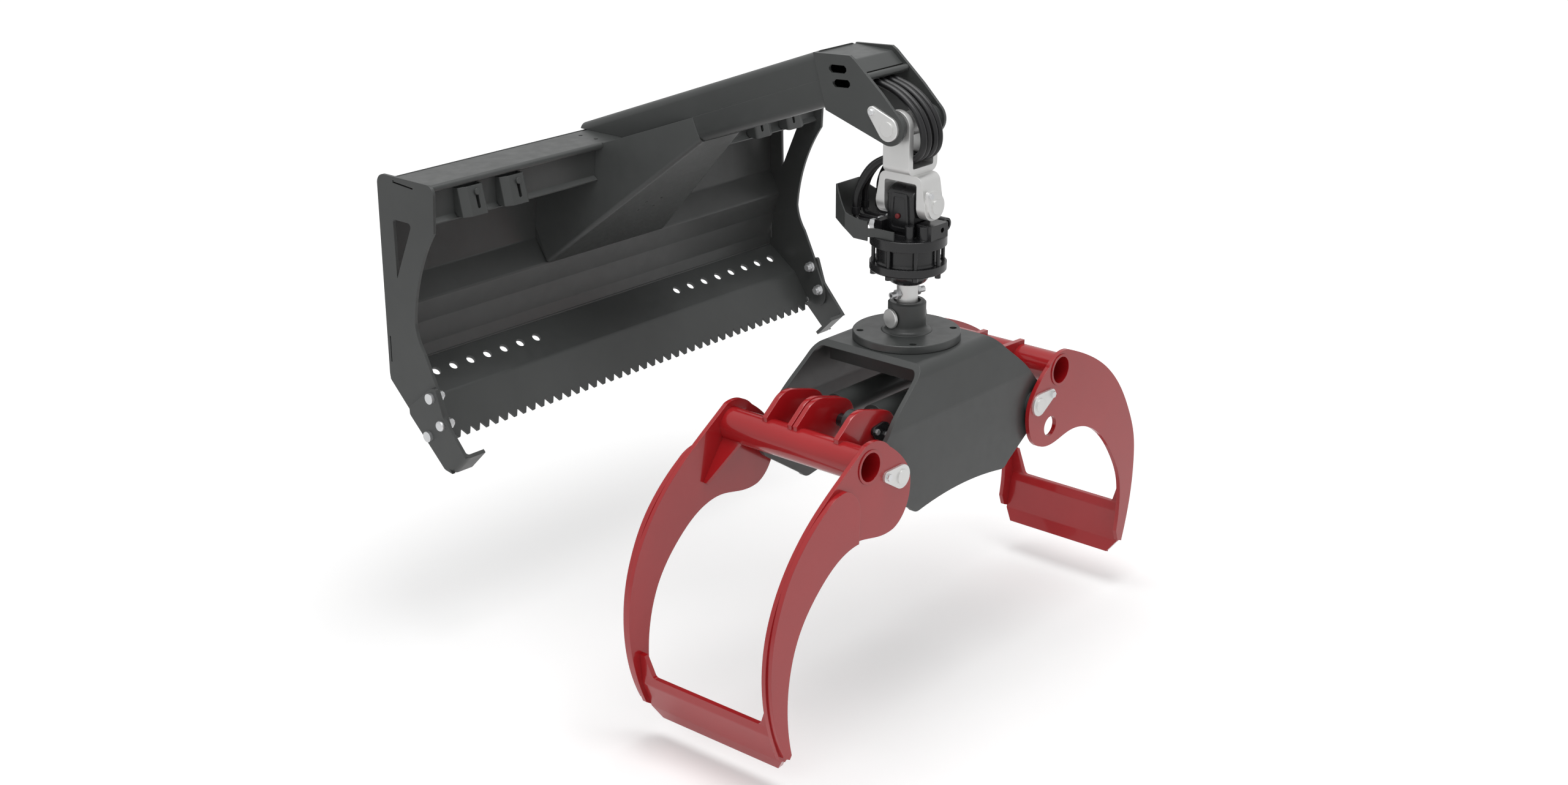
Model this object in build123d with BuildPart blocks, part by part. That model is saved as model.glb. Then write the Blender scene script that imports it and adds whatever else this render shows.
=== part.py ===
"""Forestry grapple on a toothed blade: blade, boom arm, swing link, rotator and two-jaw grapple.

X runs along the blade, +Y points away from the grapple towards the carrier, +Z is up.
The origin is the middle of the line through the blade's tooth tips.
"""
from build123d import *
import os
from math import cos, radians, sin, sqrt, tan

os.makedirs("parts", exist_ok=True)

# Blade
tooth_pitch = 40
tooth_count = 44
tooth_depth = 27
tooth_notch = 35          # width of the V at the points
blade_half = 910          # middle to the outer face of a side plate
side_gauge = 10
sheet_gauge = 8
mould_gauge = 10
rear_y = 212              # rear edge of the side plates
blade_top = 835
hole_pitch = 72
hole_count = 8            # in each half
hole_margin = 57          # outermost hole to the side plate's inner face
hole_r = 15

# Hook plates at the blade's lower corners
hook_gauge = 12
hook_flange_width = 80    # turned flange, from the hook plate's outer face
hook_bolts_yz = [(5, 157), (-35, 76)]
hook_screw_yz = (24, 27)  # threaded into the side plate, since the mouldboard covers its end
bolt_r = 10

# Top beam and its slotted brackets
beam_gauge = 6
beam_top = 832
beam_nose_y = -32
bracket_xs = (736, 567)
bracket_lean = 14

# Boom arm
arm_half = 95
arm_depth = 165
arm_gauge = 10
arm_slope = 20.2
arm_seam = 84             # height of the upper shell
arm_rear = (165, 849)     # top line at the rear end, Y and Z
brace_gauge = 8
brace_half = 278
brace_foot = (149, 414)

# Boom head
cheek_gauge = 10
head_rear_y = -838
pin_r = 22.5
pin_gap = 0.05            # running clearance of every bearing
head_y = -1125
head_pin_z = 1031

# Swing link
strap_half = 69
strap_gauge = 20
strap_width = 96
strap_foot_z = 887
fork_half = 45
fork_pin_z = 795
fork_front = 91           # from the axis to the outer face of a prong
fork_gauge = 32

# Rotator
flange_r = 116
flange_top_z = 698
flange_low_z = 588
rotator_bolts = 8
shaft_r = 32
collar_r = 58
collar_top_z = 488
disc_r = 164
disc_gauge = 25
disc_hole_r = 142

# Grapple frame
frame_top_z = 370
frame_gauge = 15
pivot_x = 370
pivot_z = 104
boss_r = 40

# Jaws: distances are outward from the pivot and up
left_outer_y = 268
right_outer_y = 242
jaw_gauge = 14
doubler_gauge = 16
tube_r = 51
tube_wall = 8
left_tube = (141, 71)
right_tube = (116, 84)
lug_pin = (-38, 98)
lug_pin_r = 20
lug_gauge = 18

# Hydraulic cylinders
cylinder_ys = (-82, 61)
barrel_r = 42
barrel_length = 520
bore_r = 35
rod_r = 22.5
rod_length = 470

# Hoses
hose_r = 10.25
hose_xs = (38, 15.5)

blade_inner = blade_half - side_gauge
wall_y = rear_y - sheet_gauge
arm_dir = (0, -cos(radians(arm_slope)), sin(radians(arm_slope)))
head_pin_zs = (head_y, head_pin_z)
strap_inner = strap_half - strap_gauge


def jaw_plane(side, y):
    """Plane through a jaw pivot: local x points outward and local y up."""
    return Plane(origin=(side * pivot_x, y, pivot_z), x_dir=(side, 0, 0), z_dir=(0, -side, 0))


def save(piece, name):
    """Label a piece and write it as the node of that name."""
    piece.label = name
    export_step(piece, f"parts/{name}.step")


# ---- Blade: side plates
with BuildPart() as side_plate_left:
    with BuildSketch(Plane.YZ.offset(-blade_half)):
        with BuildLine():
            Line((rear_y, 189), (rear_y, blade_top - 32))
            RadiusArc((rear_y, blade_top - 32), (rear_y - 32, blade_top), -32)
            Line((rear_y - 32, blade_top), (-18, blade_top))
            RadiusArc((-18, blade_top), (-46, blade_top - 28), -28)
            Line((-46, blade_top - 28), (-39, 688))
            ThreePointArc((-39, 688), (44, 525), (74, 379))
            ThreePointArc((74, 379), (63, 332), (38, 288))
            FilletPolyline((38, 288), (-8, 193), (-60, 72), (-68, 18), (-8, 14), (24, 0), (50, 16), (132, 93),
                           (rear_y - 3, 169), (rear_y, 189), radius=[20, 10, 34, 10, 20, 10, 20, 10])
        make_face()
        with BuildLine():
            Polyline((145, 511), (148, 700), (60, 700))
            ThreePointArc((60, 700), (99, 614), (145, 511))
        make_face(mode=Mode.SUBTRACT)
        with Locations((90.5, 815)):
            Rectangle(91, 5, rotation=4, mode=Mode.SUBTRACT)
        with Locations((135, 820)):
            Rectangle(5, 9, mode=Mode.SUBTRACT)
        with Locations((198, 272)):
            Rectangle(5, 85, mode=Mode.SUBTRACT)
        with Locations(*hook_bolts_yz, hook_screw_yz):
            Circle(bolt_r, mode=Mode.SUBTRACT)
    extrude(amount=side_gauge)
    window = side_plate_left.edges().filter_by(Axis.X)
    fillet(window.filter_by_position(Axis.Y, 140, 150).filter_by_position(Axis.Z, 690, 710), 9)
    fillet(window.filter_by_position(Axis.Y, 55, 65).filter_by_position(Axis.Z, 690, 710), 12)
with BuildPart() as side_plate_right:
    mirror(side_plate_left.part, about=Plane.YZ)
save(side_plate_left.part, "side_plate_left")
save(side_plate_right.part, "side_plate_right")

# ---- Hook plates with an inturned flange along the front low edge
hook_edge = Plane(origin=(-blade_half - hook_gauge, -144, -7), x_dir=(1, 0, 0), z_dir=(0, 1, -1))
with BuildPart() as hook_plate_left:
    with BuildSketch(Plane.YZ.offset(-blade_half - hook_gauge)):
        with BuildLine():
            FilletPolyline((9, 186), (-16, 193), (-47, 102), (-144, -7), (-77, -74), (-41, -68), (112, 78),
                           (113, 102), radius=[8, 30, 4, 4, 20, 14])
            Line((113, 102), (9, 186))
        make_face()
        with Locations(*hook_bolts_yz, hook_screw_yz):
            Circle(bolt_r, mode=Mode.SUBTRACT)
    extrude(amount=hook_gauge)
    with BuildSketch(hook_edge):
        with Locations((hook_gauge / 2, -12)):
            Rectangle(hook_gauge + 2, 28)
    extrude(amount=95, mode=Mode.SUBTRACT)
    with BuildSketch(hook_edge):
        with BuildLine():
            FilletPolyline((0, -26), (0, 0), (hook_flange_width, 0), radius=24)
            offset(amount=hook_gauge, side=Side.RIGHT)
        make_face()
    extrude(amount=94.7)
with BuildPart() as hook_plate_right:
    mirror(hook_plate_left.part, about=Plane.YZ)
save(hook_plate_left.part, "hook_plate_left")
save(hook_plate_right.part, "hook_plate_right")

# ---- Dome-headed bolts and their nuts
with BuildPart() as hook_bolts:
    with BuildSketch(Plane.YZ.offset(-blade_half - hook_gauge)):
        with Locations(*hook_bolts_yz, hook_screw_yz):
            Circle(17)
    extrude(amount=-11)
    fillet(hook_bolts.faces().sort_by(Axis.X)[0].edges(), 7)
    with BuildSketch(Plane.YZ.offset(-blade_half - hook_gauge)):
        with Locations(*hook_bolts_yz):
            Circle(bolt_r)
    extrude(amount=hook_gauge + side_gauge + 26)
    with BuildSketch(Plane.YZ.offset(-blade_half - hook_gauge)):
        with Locations(hook_screw_yz):
            Circle(bolt_r)
    extrude(amount=hook_gauge + side_gauge)
    mirror(about=Plane.YZ)
save(hook_bolts.part, "hook_bolts")

with BuildPart() as hook_nuts:
    with BuildSketch(Plane.YZ.offset(-blade_inner)):
        with Locations(*hook_bolts_yz):
            Circle(19)
            Circle(bolt_r, mode=Mode.SUBTRACT)
    extrude(amount=3)
    with BuildSketch(Plane.YZ.offset(-blade_inner + 3)):
        with Locations(*hook_bolts_yz):
            RegularPolygon(17.3, 6)
            Circle(bolt_r, mode=Mode.SUBTRACT)
    extrude(amount=16)
    mirror(about=Plane.YZ)
save(hook_nuts.part, "hook_nuts")

# ---- Folded back wall with its sloping ledge
wall_line = [(150, 822), (wall_y, 796), (wall_y, 492), (157, 412), (187, 332), (wall_y, 250), (wall_y, 208)]
with BuildPart() as back_wall:
    with BuildSketch(Plane.YZ.offset(-blade_inner)):
        with BuildLine():
            FilletPolyline(*wall_line, radius=[14, 12, 12, 12, 12])
            offset(amount=sheet_gauge, side=Side.LEFT)
        make_face()
    extrude(amount=2 * blade_inner)
save(back_wall.part, "back_wall")

# ---- Toothed mouldboard: perforated upper strip, bend, and the saw-toothed edge
bend_yz = (82, 122)
mould_dir = (bend_yz[0] / sqrt(bend_yz[0] ** 2 + bend_yz[1] ** 2), bend_yz[1] / sqrt(bend_yz[0] ** 2 + bend_yz[1] ** 2))
tooth_plane = Plane(origin=(0, 0, 0), x_dir=(1, 0, 0), z_dir=(0, -mould_dir[1], mould_dir[0]))
strip_dir = (wall_y + 2 - bend_yz[0], 208 - bend_yz[1])
hole_plane = Plane(origin=(0, 153.6, 171.6), x_dir=(1, 0, 0), z_dir=(0, -strip_dir[1], strip_dir[0]))
with BuildPart() as toothed_mouldboard:
    with BuildSketch(Plane.YZ.offset(-blade_inner)):
        with BuildLine():
            strip_end = (bend_yz[0] + 1.1 * strip_dir[0], bend_yz[1] + 1.1 * strip_dir[1])
            FilletPolyline(strip_end, bend_yz, (0, 0), radius=40)
            offset(amount=mould_gauge, side=Side.LEFT)
        make_face()
    extrude(amount=2 * blade_inner)
    split(bisect_by=Plane.XZ.offset(-wall_y), keep=Keep.TOP)
    with BuildSketch(hole_plane):
        hole_xs = [blade_inner - hole_margin - hole_pitch * k for k in range(hole_count)]
        with Locations(*[(side * x, 0) for side in (-1, 1) for x in hole_xs]):
            Circle(hole_r)
    extrude(amount=20, both=True, mode=Mode.SUBTRACT)
    with BuildSketch(tooth_plane):
        for k in range(tooth_count + 1):
            notch_x = (k - tooth_count / 2) * tooth_pitch
            with BuildLine():
                Polyline((notch_x - tooth_notch / 2, -1), (notch_x, tooth_depth), (notch_x + tooth_notch / 2, -1),
                         close=True)
            make_face()
        with Locations((-blade_inner + 5, 0), (blade_inner - 5, 0)):
            Rectangle(30, 2 * tooth_depth)
    extrude(amount=20, both=True, mode=Mode.SUBTRACT)
save(toothed_mouldboard.part, "toothed_mouldboard")

# ---- Top beam, one folded sheet with a rounded nose and an outward lip
beam_line = [(140, 812), (140, beam_top), (beam_nose_y, beam_top), (beam_nose_y, beam_top - 19), (-5, 806), (-5, 723),
             (-20, 711)]
beam_radii = [8, 12, 7, 4, 4]
with BuildPart() as top_beam:
    with BuildSketch(Plane.YZ.offset(-blade_inner)):
        with BuildLine():
            FilletPolyline(*beam_line, radius=beam_radii)
            offset(amount=beam_gauge, side=Side.LEFT)
        make_face()
    extrude(amount=2 * blade_inner)
    with Locations(Location((-arm_half - 70, 92, beam_top)), Location((-arm_half - 70, 21, beam_top))):
        Hole(7, depth=2 * beam_gauge)
save(top_beam.part, "top_beam")

# ---- Slotted brackets, two each side, leaning out at the bottom
lean = radians(bracket_lean)
with BuildPart() as slotted_brackets:
    for bracket_x in bracket_xs:
        plan = Plane(origin=(-bracket_x, -47, 761), x_dir=(1, 0, 0), z_dir=(0, sin(lean), cos(lean)))
        with BuildSketch(plan):
            with BuildLine():
                FilletPolyline((-60, 90), (-60, 12), (-33, 0), (33, 0), (33, 90), radius=[8, 8, 9])
                offset(amount=6, side=Side.LEFT)
            make_face()
        extrude(amount=55, both=True)
        with BuildSketch(Plane(origin=(-bracket_x, -47, 761), x_dir=(1, 0, 0), z_dir=(0, -cos(lean), sin(lean)))):
            with Locations((0, 3)):
                SlotOverall(62, 12, rotation=90)
        extrude(amount=20, both=True, mode=Mode.SUBTRACT)
    split(bisect_by=Plane.XZ.offset(5), keep=Keep.TOP)
    split(bisect_by=Plane.XY.offset(804), keep=Keep.BOTTOM)
    split(bisect_by=Plane.XY.offset(715), keep=Keep.TOP)
    with BuildSketch(Plane.YZ.offset(-blade_inner)):
        with BuildLine():
            Polyline((-4, 729), (-21, 713), (-21, 700), (-4, 700), close=True)
        make_face()
    extrude(amount=blade_inner, mode=Mode.SUBTRACT)
    mirror(about=Plane.YZ)
save(slotted_brackets.part, "slotted_brackets")

bolt_plane_z = 761 + 24 * cos(lean)
with BuildPart() as bracket_bolts:
    for bracket_x in bracket_xs:
        front = Plane(origin=(-bracket_x, -47 + 24 * sin(lean), bolt_plane_z), x_dir=(1, 0, 0),
                      z_dir=(0, -cos(lean), sin(lean)))
        with BuildSketch(front):
            Circle(10)
        extrude(amount=7)
        with BuildSketch(front):
            Circle(6)
        extrude(amount=-16)
        with BuildSketch(front.offset(-6)):
            RegularPolygon(9, 6)
        extrude(amount=-8)
    mirror(about=Plane.YZ)
save(bracket_bolts.part, "bracket_bolts")


# ---- Brace: a folded trough from the ledge up to the arm
arm_plane = Plane(origin=(0, arm_rear[0], arm_rear[1]), x_dir=(1, 0, 0), z_dir=arm_dir)
arm_length = (arm_rear[0] - head_rear_y) / cos(radians(arm_slope)) + 12
def brace_block(inset):
    """Wedge under the arm, its front face and both side faces moved inwards by inset."""
    foot_y, foot_z = brace_foot
    toe = (-376, 870)
    run = sqrt((toe[0] - foot_y) ** 2 + (toe[1] - foot_z) ** 2)
    push = (inset * (toe[1] - foot_z) / run, inset * (foot_y - toe[0]) / run)
    grow = 40 if inset else 0
    along = ((toe[0] - foot_y) / run, (toe[1] - foot_z) / run)
    with BuildPart() as block:
        with BuildSketch(Plane.YZ):
            with BuildLine():
                Polyline((foot_y + push[0] - grow * along[0], foot_z + push[1] - grow * along[1]),
                         (toe[0] + push[0] + grow * along[0], toe[1] + push[1] + grow * along[1]),
                         (-342 - grow * 0.2, 945 + 2 * grow), (beam_nose_y - 1, 831 + 2 * grow),
                         (wall_y + grow, 831 + 2 * grow), (wall_y + grow, 492 - 2 * grow), close=True)
            make_face()
        extrude(amount=brace_half, both=True)
        for side in (-1, 1):
            corner = Vector(side * brace_half, foot_y, foot_z)
            up = Vector(side * arm_half, toe[0], toe[1]) - corner
            rise = Vector(side * arm_half, -342, 945) - corner
            out = up.cross(rise).normalized()
            out = out if out.X * side > 0 else out * -1
            split(bisect_by=Plane(origin=corner - out * inset, z_dir=out), keep=Keep.BOTTOM)
        folds = block.edges().filter_by(GeomType.LINE).filter_by(
            lambda e: e.length > 500 and abs(abs(e.center().X) - (brace_half + arm_half) / 2) < 40
            and abs(e.center().Z - (foot_z + toe[1]) / 2) < 70
        )
        fillet(folds, 16 - inset)
    return block.part


brace_outer = brace_block(0)
brace_hollow = brace_block(brace_gauge)
with BuildPart() as arm_brace:
    add(brace_outer)
    add(brace_hollow, mode=Mode.SUBTRACT)
    with BuildSketch(Plane.YZ.offset(-brace_half)):
        with BuildLine():
            FilletPolyline((wall_y + 60, beam_top), *beam_line[2:], radius=beam_radii[1:])
            Polyline(beam_line[-1], (-16, 705), (wall_y + 60, 705), (wall_y + 60, beam_top))
        make_face()
        with BuildLine():
            FilletPolyline((wall_y, 900), *wall_line[2:], radius=[12, 12, 12, 12])
            Polyline(wall_line[-1], (500, 208), (500, 900), (wall_y, 900))
        make_face()
    extrude(amount=2 * brace_half, mode=Mode.SUBTRACT)
    with BuildSketch(arm_plane):
        with Locations((0, -arm_depth / 2)):
            RectangleRounded(2 * arm_half, arm_depth, 24)
    extrude(amount=arm_length, mode=Mode.SUBTRACT)
    with BuildSketch(Plane(origin=(-9, -62, 598), x_dir=(1, 0, 0), z_dir=(0, -456, -525))):
        with Locations((-36, 27), (-34, -26), (35, 27), (36, -26)):
            Circle(4)
    extrude(amount=20, both=True, mode=Mode.SUBTRACT)
save(arm_brace.part, "arm_brace")

# ---- Boom arm: two folded channels meeting on a seam
with BuildPart() as arm_upper_shell:
    with BuildSketch(arm_plane.offset(-80)):
        with BuildLine():
            FilletPolyline((-arm_half, -arm_seam), (-arm_half, 0), (arm_half, 0), (arm_half, -arm_seam), radius=24)
            offset(amount=arm_gauge, side=Side.RIGHT)
        make_face()
    extrude(amount=80 + arm_length)
    with BuildSketch(Plane.YZ.offset(-arm_half)):
        with BuildLine():
            Polyline((400, 1000), (arm_rear[0], 1000), (arm_rear[0], beam_top), (beam_nose_y - 1, beam_top),
                     (beam_nose_y - 1, 500), (400, 500), close=True)
        make_face()
        with BuildLine():
            Polyline((head_rear_y - 3, 1205), (head_rear_y - 3, 1300), (-1000, 1300), (-1000, 1198), close=True)
        make_face()
    extrude(amount=2 * arm_half, mode=Mode.SUBTRACT)
save(arm_upper_shell.part, "arm_upper_shell")
with BuildPart() as arm_lower_shell:
    with BuildSketch(arm_plane.offset(-80)):
        with BuildLine():
            FilletPolyline((-arm_half, -arm_seam), (-arm_half, -arm_depth), (arm_half, -arm_depth),
                           (arm_half, -arm_seam), radius=24)
            offset(amount=arm_gauge, side=Side.LEFT)
        make_face()
    extrude(amount=80 + arm_length)
    with BuildSketch(Plane.YZ.offset(-arm_half)):
        with BuildLine():
            Polyline((400, beam_top), (beam_nose_y - 1, beam_top), (beam_nose_y - 1, 500), (400, 500), close=True)
        make_face()
    extrude(amount=2 * arm_half, mode=Mode.SUBTRACT)
save(arm_lower_shell.part, "arm_lower_shell")

# ---- Boom head: two cheeks with a bearing boss, a folded cover and a round cross bar
with BuildPart() as head_cheek_left:
    with BuildSketch(Plane.YZ.offset(-arm_half - cheek_gauge)):
        with BuildLine():
            Polyline((head_rear_y, 1217), (-976, 1225), (-992, 1216), (-1096, 1129), (head_y, head_pin_z),
                     (-1020, 1014), (-888, 1052), close=True)
        make_face()
        with Locations(head_pin_zs):
            Circle(51)
        make_hull()
        with Locations(Location((-932, 1179.5), -3), Location((-946.5, 1138.5), -4)):
            Rectangle(66, 24, mode=Mode.SUBTRACT)
        with Locations(head_pin_zs):
            Circle(pin_r, mode=Mode.SUBTRACT)
    extrude(amount=cheek_gauge)
    slot_corners = head_cheek_left.edges().filter_by(Axis.X).filter_by_position(Axis.Y, -985, -890)
    chamfer(slot_corners.filter_by_position(Axis.Z, 1120, 1195), 8)
    with BuildSketch(Plane.YZ.offset(-arm_half)):
        with Locations(head_pin_zs):
            Circle(40)
            Circle(pin_r, mode=Mode.SUBTRACT)
    extrude(amount=arm_half - strap_half - 1)
with BuildPart() as head_cheek_right:
    mirror(head_cheek_left.part, about=Plane.YZ)
save(head_cheek_left.part, "head_cheek_left")
save(head_cheek_right.part, "head_cheek_right")

with BuildPart() as head_cover:
    with BuildSketch(Plane.YZ.offset(-arm_half)):
        with BuildLine():
            FilletPolyline((head_rear_y - 4, 1215), (-978, 1211), (-1018, 1178), radius=14)
            offset(amount=sheet_gauge, side=Side.LEFT)
        make_face()
    extrude(amount=2 * arm_half)
save(head_cover.part, "head_cover")

with BuildPart() as head_cross_bar:
    with BuildSketch(Plane.YZ.offset(-arm_half)):
        with Locations((-1031, 1167)):
            Circle(11)
    extrude(amount=2 * arm_half)
save(head_cross_bar.part, "head_cross_bar")

head_face = arm_half + cheek_gauge
head_bolt_yz = (-1068, 1074)
with BuildPart() as head_pin:
    with BuildSketch(Plane.YZ.offset(-head_face)):
        with Locations(head_pin_zs):
            Circle(37)
        with Locations(head_bolt_yz):
            Circle(17)
        make_hull()
        with Locations(head_bolt_yz):
            Circle(6, mode=Mode.SUBTRACT)
    extrude(amount=-10)
    fillet(head_pin.faces().sort_by(Axis.X)[0].outer_wire().edges(), 3)
    with BuildSketch(Plane.YZ.offset(-head_face - 14)):
        with Locations(head_pin_zs):
            Circle(pin_r)
    extrude(amount=2 * head_face + 24)
    chamfer(head_pin.faces().sort_by(Axis.X)[-1].edges(), 2)
save(head_pin.part, "head_pin")

with BuildPart() as head_pin_bolt:
    with BuildSketch(Plane.YZ.offset(-head_face - 10)):
        with Locations(head_bolt_yz):
            Circle(10)
    extrude(amount=-7)
    chamfer(head_pin_bolt.faces().sort_by(Axis.X)[0].edges(), 2)
    with BuildSketch(Plane.YZ.offset(-head_face - 10)):
        with Locations(head_bolt_yz):
            Circle(6)
    extrude(amount=10)
save(head_pin_bolt.part, "head_pin_bolt")

# ---- Carrier hitch on the back of the wall: two lower brackets and a top one
hitch_spots = [(-340, 225, 14.2, 36), (340, 225, 14.2, 36), (0, 670, 12.8, 30)]
hitch_reach = 56
with BuildPart() as hitch_brackets:
    for hitch_x, hitch_z, bore, ear_gap in hitch_spots:
        with BuildSketch(Plane.XZ.offset(-rear_y)):
            with Locations((hitch_x, hitch_z)):
                Rectangle(2 * ear_gap + 24, 110)
        extrude(amount=-12)
        for side in (-1, 1):
            with BuildSketch(Plane.YZ.offset(hitch_x + side * ear_gap - 7)):
                with Locations((rear_y + hitch_reach, hitch_z)):
                    Circle(32)
                with Locations((rear_y + 6, hitch_z)):
                    Rectangle(12, 110)
                make_hull()
                with Locations((rear_y + hitch_reach, hitch_z)):
                    Circle(bore, mode=Mode.SUBTRACT)
            extrude(amount=14)
save(hitch_brackets.part, "hitch_brackets")

# ---- Swing link: a U strap on the head pin and, crosswise below it, a fork
with BuildPart() as link_strap:
    with BuildSketch(Plane.XZ.offset(-head_y - strap_width / 2)):
        with BuildLine():
            FilletPolyline((-strap_half, head_pin_z), (-strap_half, strap_foot_z), (strap_half, strap_foot_z),
                           (strap_half, head_pin_z), radius=26)
            offset(amount=strap_gauge, side=Side.LEFT)
        make_face()
    extrude(amount=strap_width)
    with BuildSketch(Plane.YZ.offset(-strap_half)):
        with Locations(head_pin_zs):
            Circle(strap_width / 2)
    extrude(amount=strap_gauge)
    with BuildSketch(Plane.YZ.offset(strap_inner)):
        with Locations(head_pin_zs):
            Circle(strap_width / 2)
    extrude(amount=strap_gauge)
    with BuildSketch(Plane.YZ.offset(-strap_half)):
        with Locations(head_pin_zs):
            Circle(pin_r + pin_gap)
    extrude(amount=2 * strap_half, mode=Mode.SUBTRACT)
save(link_strap.part, "link_strap")

with BuildPart() as link_sleeve:
    with BuildSketch(Plane.YZ.offset(-strap_inner)):
        with Locations(head_pin_zs):
            Circle(36)
            Circle(pin_r + pin_gap, mode=Mode.SUBTRACT)
    extrude(amount=2 * strap_inner)
save(link_sleeve.part, "link_sleeve")

fork_inner = fork_front - fork_gauge
with BuildPart() as link_fork:
    with BuildSketch(Plane.YZ.offset(-fork_half)):
        with BuildLine():
            FilletPolyline((head_y - fork_front, fork_pin_z), (head_y - fork_front + 16, strap_foot_z),
                           (head_y + fork_front - 16, strap_foot_z), (head_y + fork_front, fork_pin_z), radius=26)
            Line((head_y + fork_front, fork_pin_z), (head_y - fork_front, fork_pin_z))
        make_face()
        with BuildLine():
            FilletPolyline((head_y - fork_inner, fork_pin_z - 1), (head_y - fork_inner, strap_foot_z - 24),
                           (head_y + fork_inner, strap_foot_z - 24), (head_y + fork_inner, fork_pin_z - 1), radius=8)
            Line((head_y + fork_inner, fork_pin_z - 1), (head_y - fork_inner, fork_pin_z - 1))
        make_face(mode=Mode.SUBTRACT)
    extrude(amount=2 * fork_half)
    for side in (-1, 1):
        with BuildSketch(Plane.XZ.offset(-head_y - side * (fork_front + fork_inner) / 2)):
            with Locations((0, fork_pin_z)):
                Circle(fork_half)
        extrude(amount=fork_gauge / 2, both=True)
    with BuildSketch(Plane.XZ.offset(-head_y)):
        with Locations((0, fork_pin_z)):
            Circle(pin_r)
    extrude(amount=fork_front + 5, both=True, mode=Mode.SUBTRACT)
save(link_fork.part, "link_fork")

fork_bolt_xz = (-30, 832)
with BuildPart() as fork_pin:
    with BuildSketch(Plane.XZ.offset(-head_y + fork_front)):
        with Locations((0, fork_pin_z)):
            Circle(38)
        with Locations(fork_bolt_xz):
            Circle(14)
        make_hull()
        with Locations(fork_bolt_xz):
            Circle(5, mode=Mode.SUBTRACT)
    extrude(amount=10)
    with BuildSketch(Plane.XZ.offset(-head_y + fork_front + 14)):
        with Locations((0, fork_pin_z)):
            Circle(pin_r)
    extrude(amount=-2 * fork_front - 22)
save(fork_pin.part, "fork_pin")

with BuildPart() as fork_pin_bolt:
    with BuildSketch(Plane.XZ.offset(-head_y + fork_front + 10)):
        with Locations(fork_bolt_xz):
            Circle(9)
    extrude(amount=6)
    with BuildSketch(Plane.XZ.offset(-head_y + fork_front + 10)):
        with Locations(fork_bolt_xz):
            Circle(5)
    extrude(amount=-10)
save(fork_pin_bolt.part, "fork_pin_bolt")

# ---- Rotator head: flange, central lug and port blocks in one casting
axis_plane = Plane(origin=(0, head_y, 0))
lug_half = fork_inner - 9
port_z = flange_top_z + 24
with BuildPart() as rotator_head:
    with BuildSketch(Plane.XZ.offset(-head_y)):
        with Locations((0, fork_pin_z)):
            Circle(53)
        with Locations((0, flange_top_z + 6)):
            Rectangle(106, 16)
        make_hull()
        with Locations((-75, 750), (75, 750)):
            Rectangle(60, 240, mode=Mode.SUBTRACT)
    extrude(amount=lug_half, both=True)
    lug_rim = rotator_head.edges().filter_by(lambda e: e.center().Z > flange_top_z + 2)
    fillet(lug_rim, 8)
    with BuildSketch(axis_plane.offset(flange_top_z - 30)):
        Circle(flange_r)
    extrude(amount=30)
    fillet(rotator_head.edges().filter_by(GeomType.CIRCLE).filter_by_position(Axis.Z, flange_top_z, flange_top_z), 3)
    with BuildSketch(axis_plane.offset(flange_top_z)):
        with Locations((4, -84)):
            Rectangle(82, 54)
        with Locations((0, 58)):
            Rectangle(150, 26)
    extrude(amount=44)
    with BuildSketch(axis_plane.offset(flange_top_z)):
        with Locations((-34, -82)):
            Circle(17)
        with Locations((-62, -50)):
            Circle(14)
    extrude(amount=42)
    with BuildSketch(axis_plane.offset(flange_top_z)):
        with Locations((64, -56)):
            Rectangle(30, 56)
    extrude(amount=28)
    with BuildSketch(Plane.XZ.offset(-head_y + 92)):
        with Locations((66, port_z + 4)):
            Circle(20)
    extrude(amount=-70)
    with BuildSketch(Plane.XZ.offset(-head_y - 75)):
        with Locations(*[(side * x, port_z) for side in (-1, 1) for x in (19, 57)]):
            Circle(16)
    extrude(amount=10)
    with BuildSketch(Plane.XZ.offset(-head_y + 93)):
        with Locations((66, port_z + 4)):
            Circle(13)
    extrude(amount=-24, mode=Mode.SUBTRACT)
    with BuildSketch(Plane.XZ.offset(-head_y + 112)):
        with Locations((18, port_z)):
            Circle(8)
    extrude(amount=-22, mode=Mode.SUBTRACT)
    with BuildSketch(Plane.YZ.offset(-fork_half)):
        with BuildLine():
            FilletPolyline((head_y - 37, 712), (head_y + 37, 712), (head_y + 29, 828), (head_y - 29, 828), radius=9,
                           close=True)
        make_face()
    extrude(amount=-5)
    with BuildSketch(Plane.YZ.offset(-fork_half - 5)):
        with BuildLine():
            FilletPolyline((head_y - 27, 724), (head_y + 27, 724), (head_y + 20, 817), (head_y - 20, 817), radius=7,
                           close=True)
        make_face()
    extrude(amount=3, mode=Mode.SUBTRACT)
    with BuildSketch(Plane.XZ.offset(-head_y)):
        with Locations((0, fork_pin_z)):
            Circle(pin_r + pin_gap)
    extrude(amount=lug_half + 5, both=True, mode=Mode.SUBTRACT)
    with BuildSketch(axis_plane.offset(flange_top_z - 31)):
        with PolarLocations(flange_r - 10, rotator_bolts, start_angle=4):
            Circle(6)
    extrude(amount=20, mode=Mode.SUBTRACT)
save(rotator_head.part, "rotator_head")

with BuildPart() as grease_plug:
    with BuildSketch(Plane.YZ.offset(-fork_half - 2)):
        with Locations((head_y + 5, 758)):
            Circle(8)
    extrude(amount=-7)
    fillet(grease_plug.faces().sort_by(Axis.X)[0].edges(), 3)
save(grease_plug.part, "grease_plug")

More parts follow.
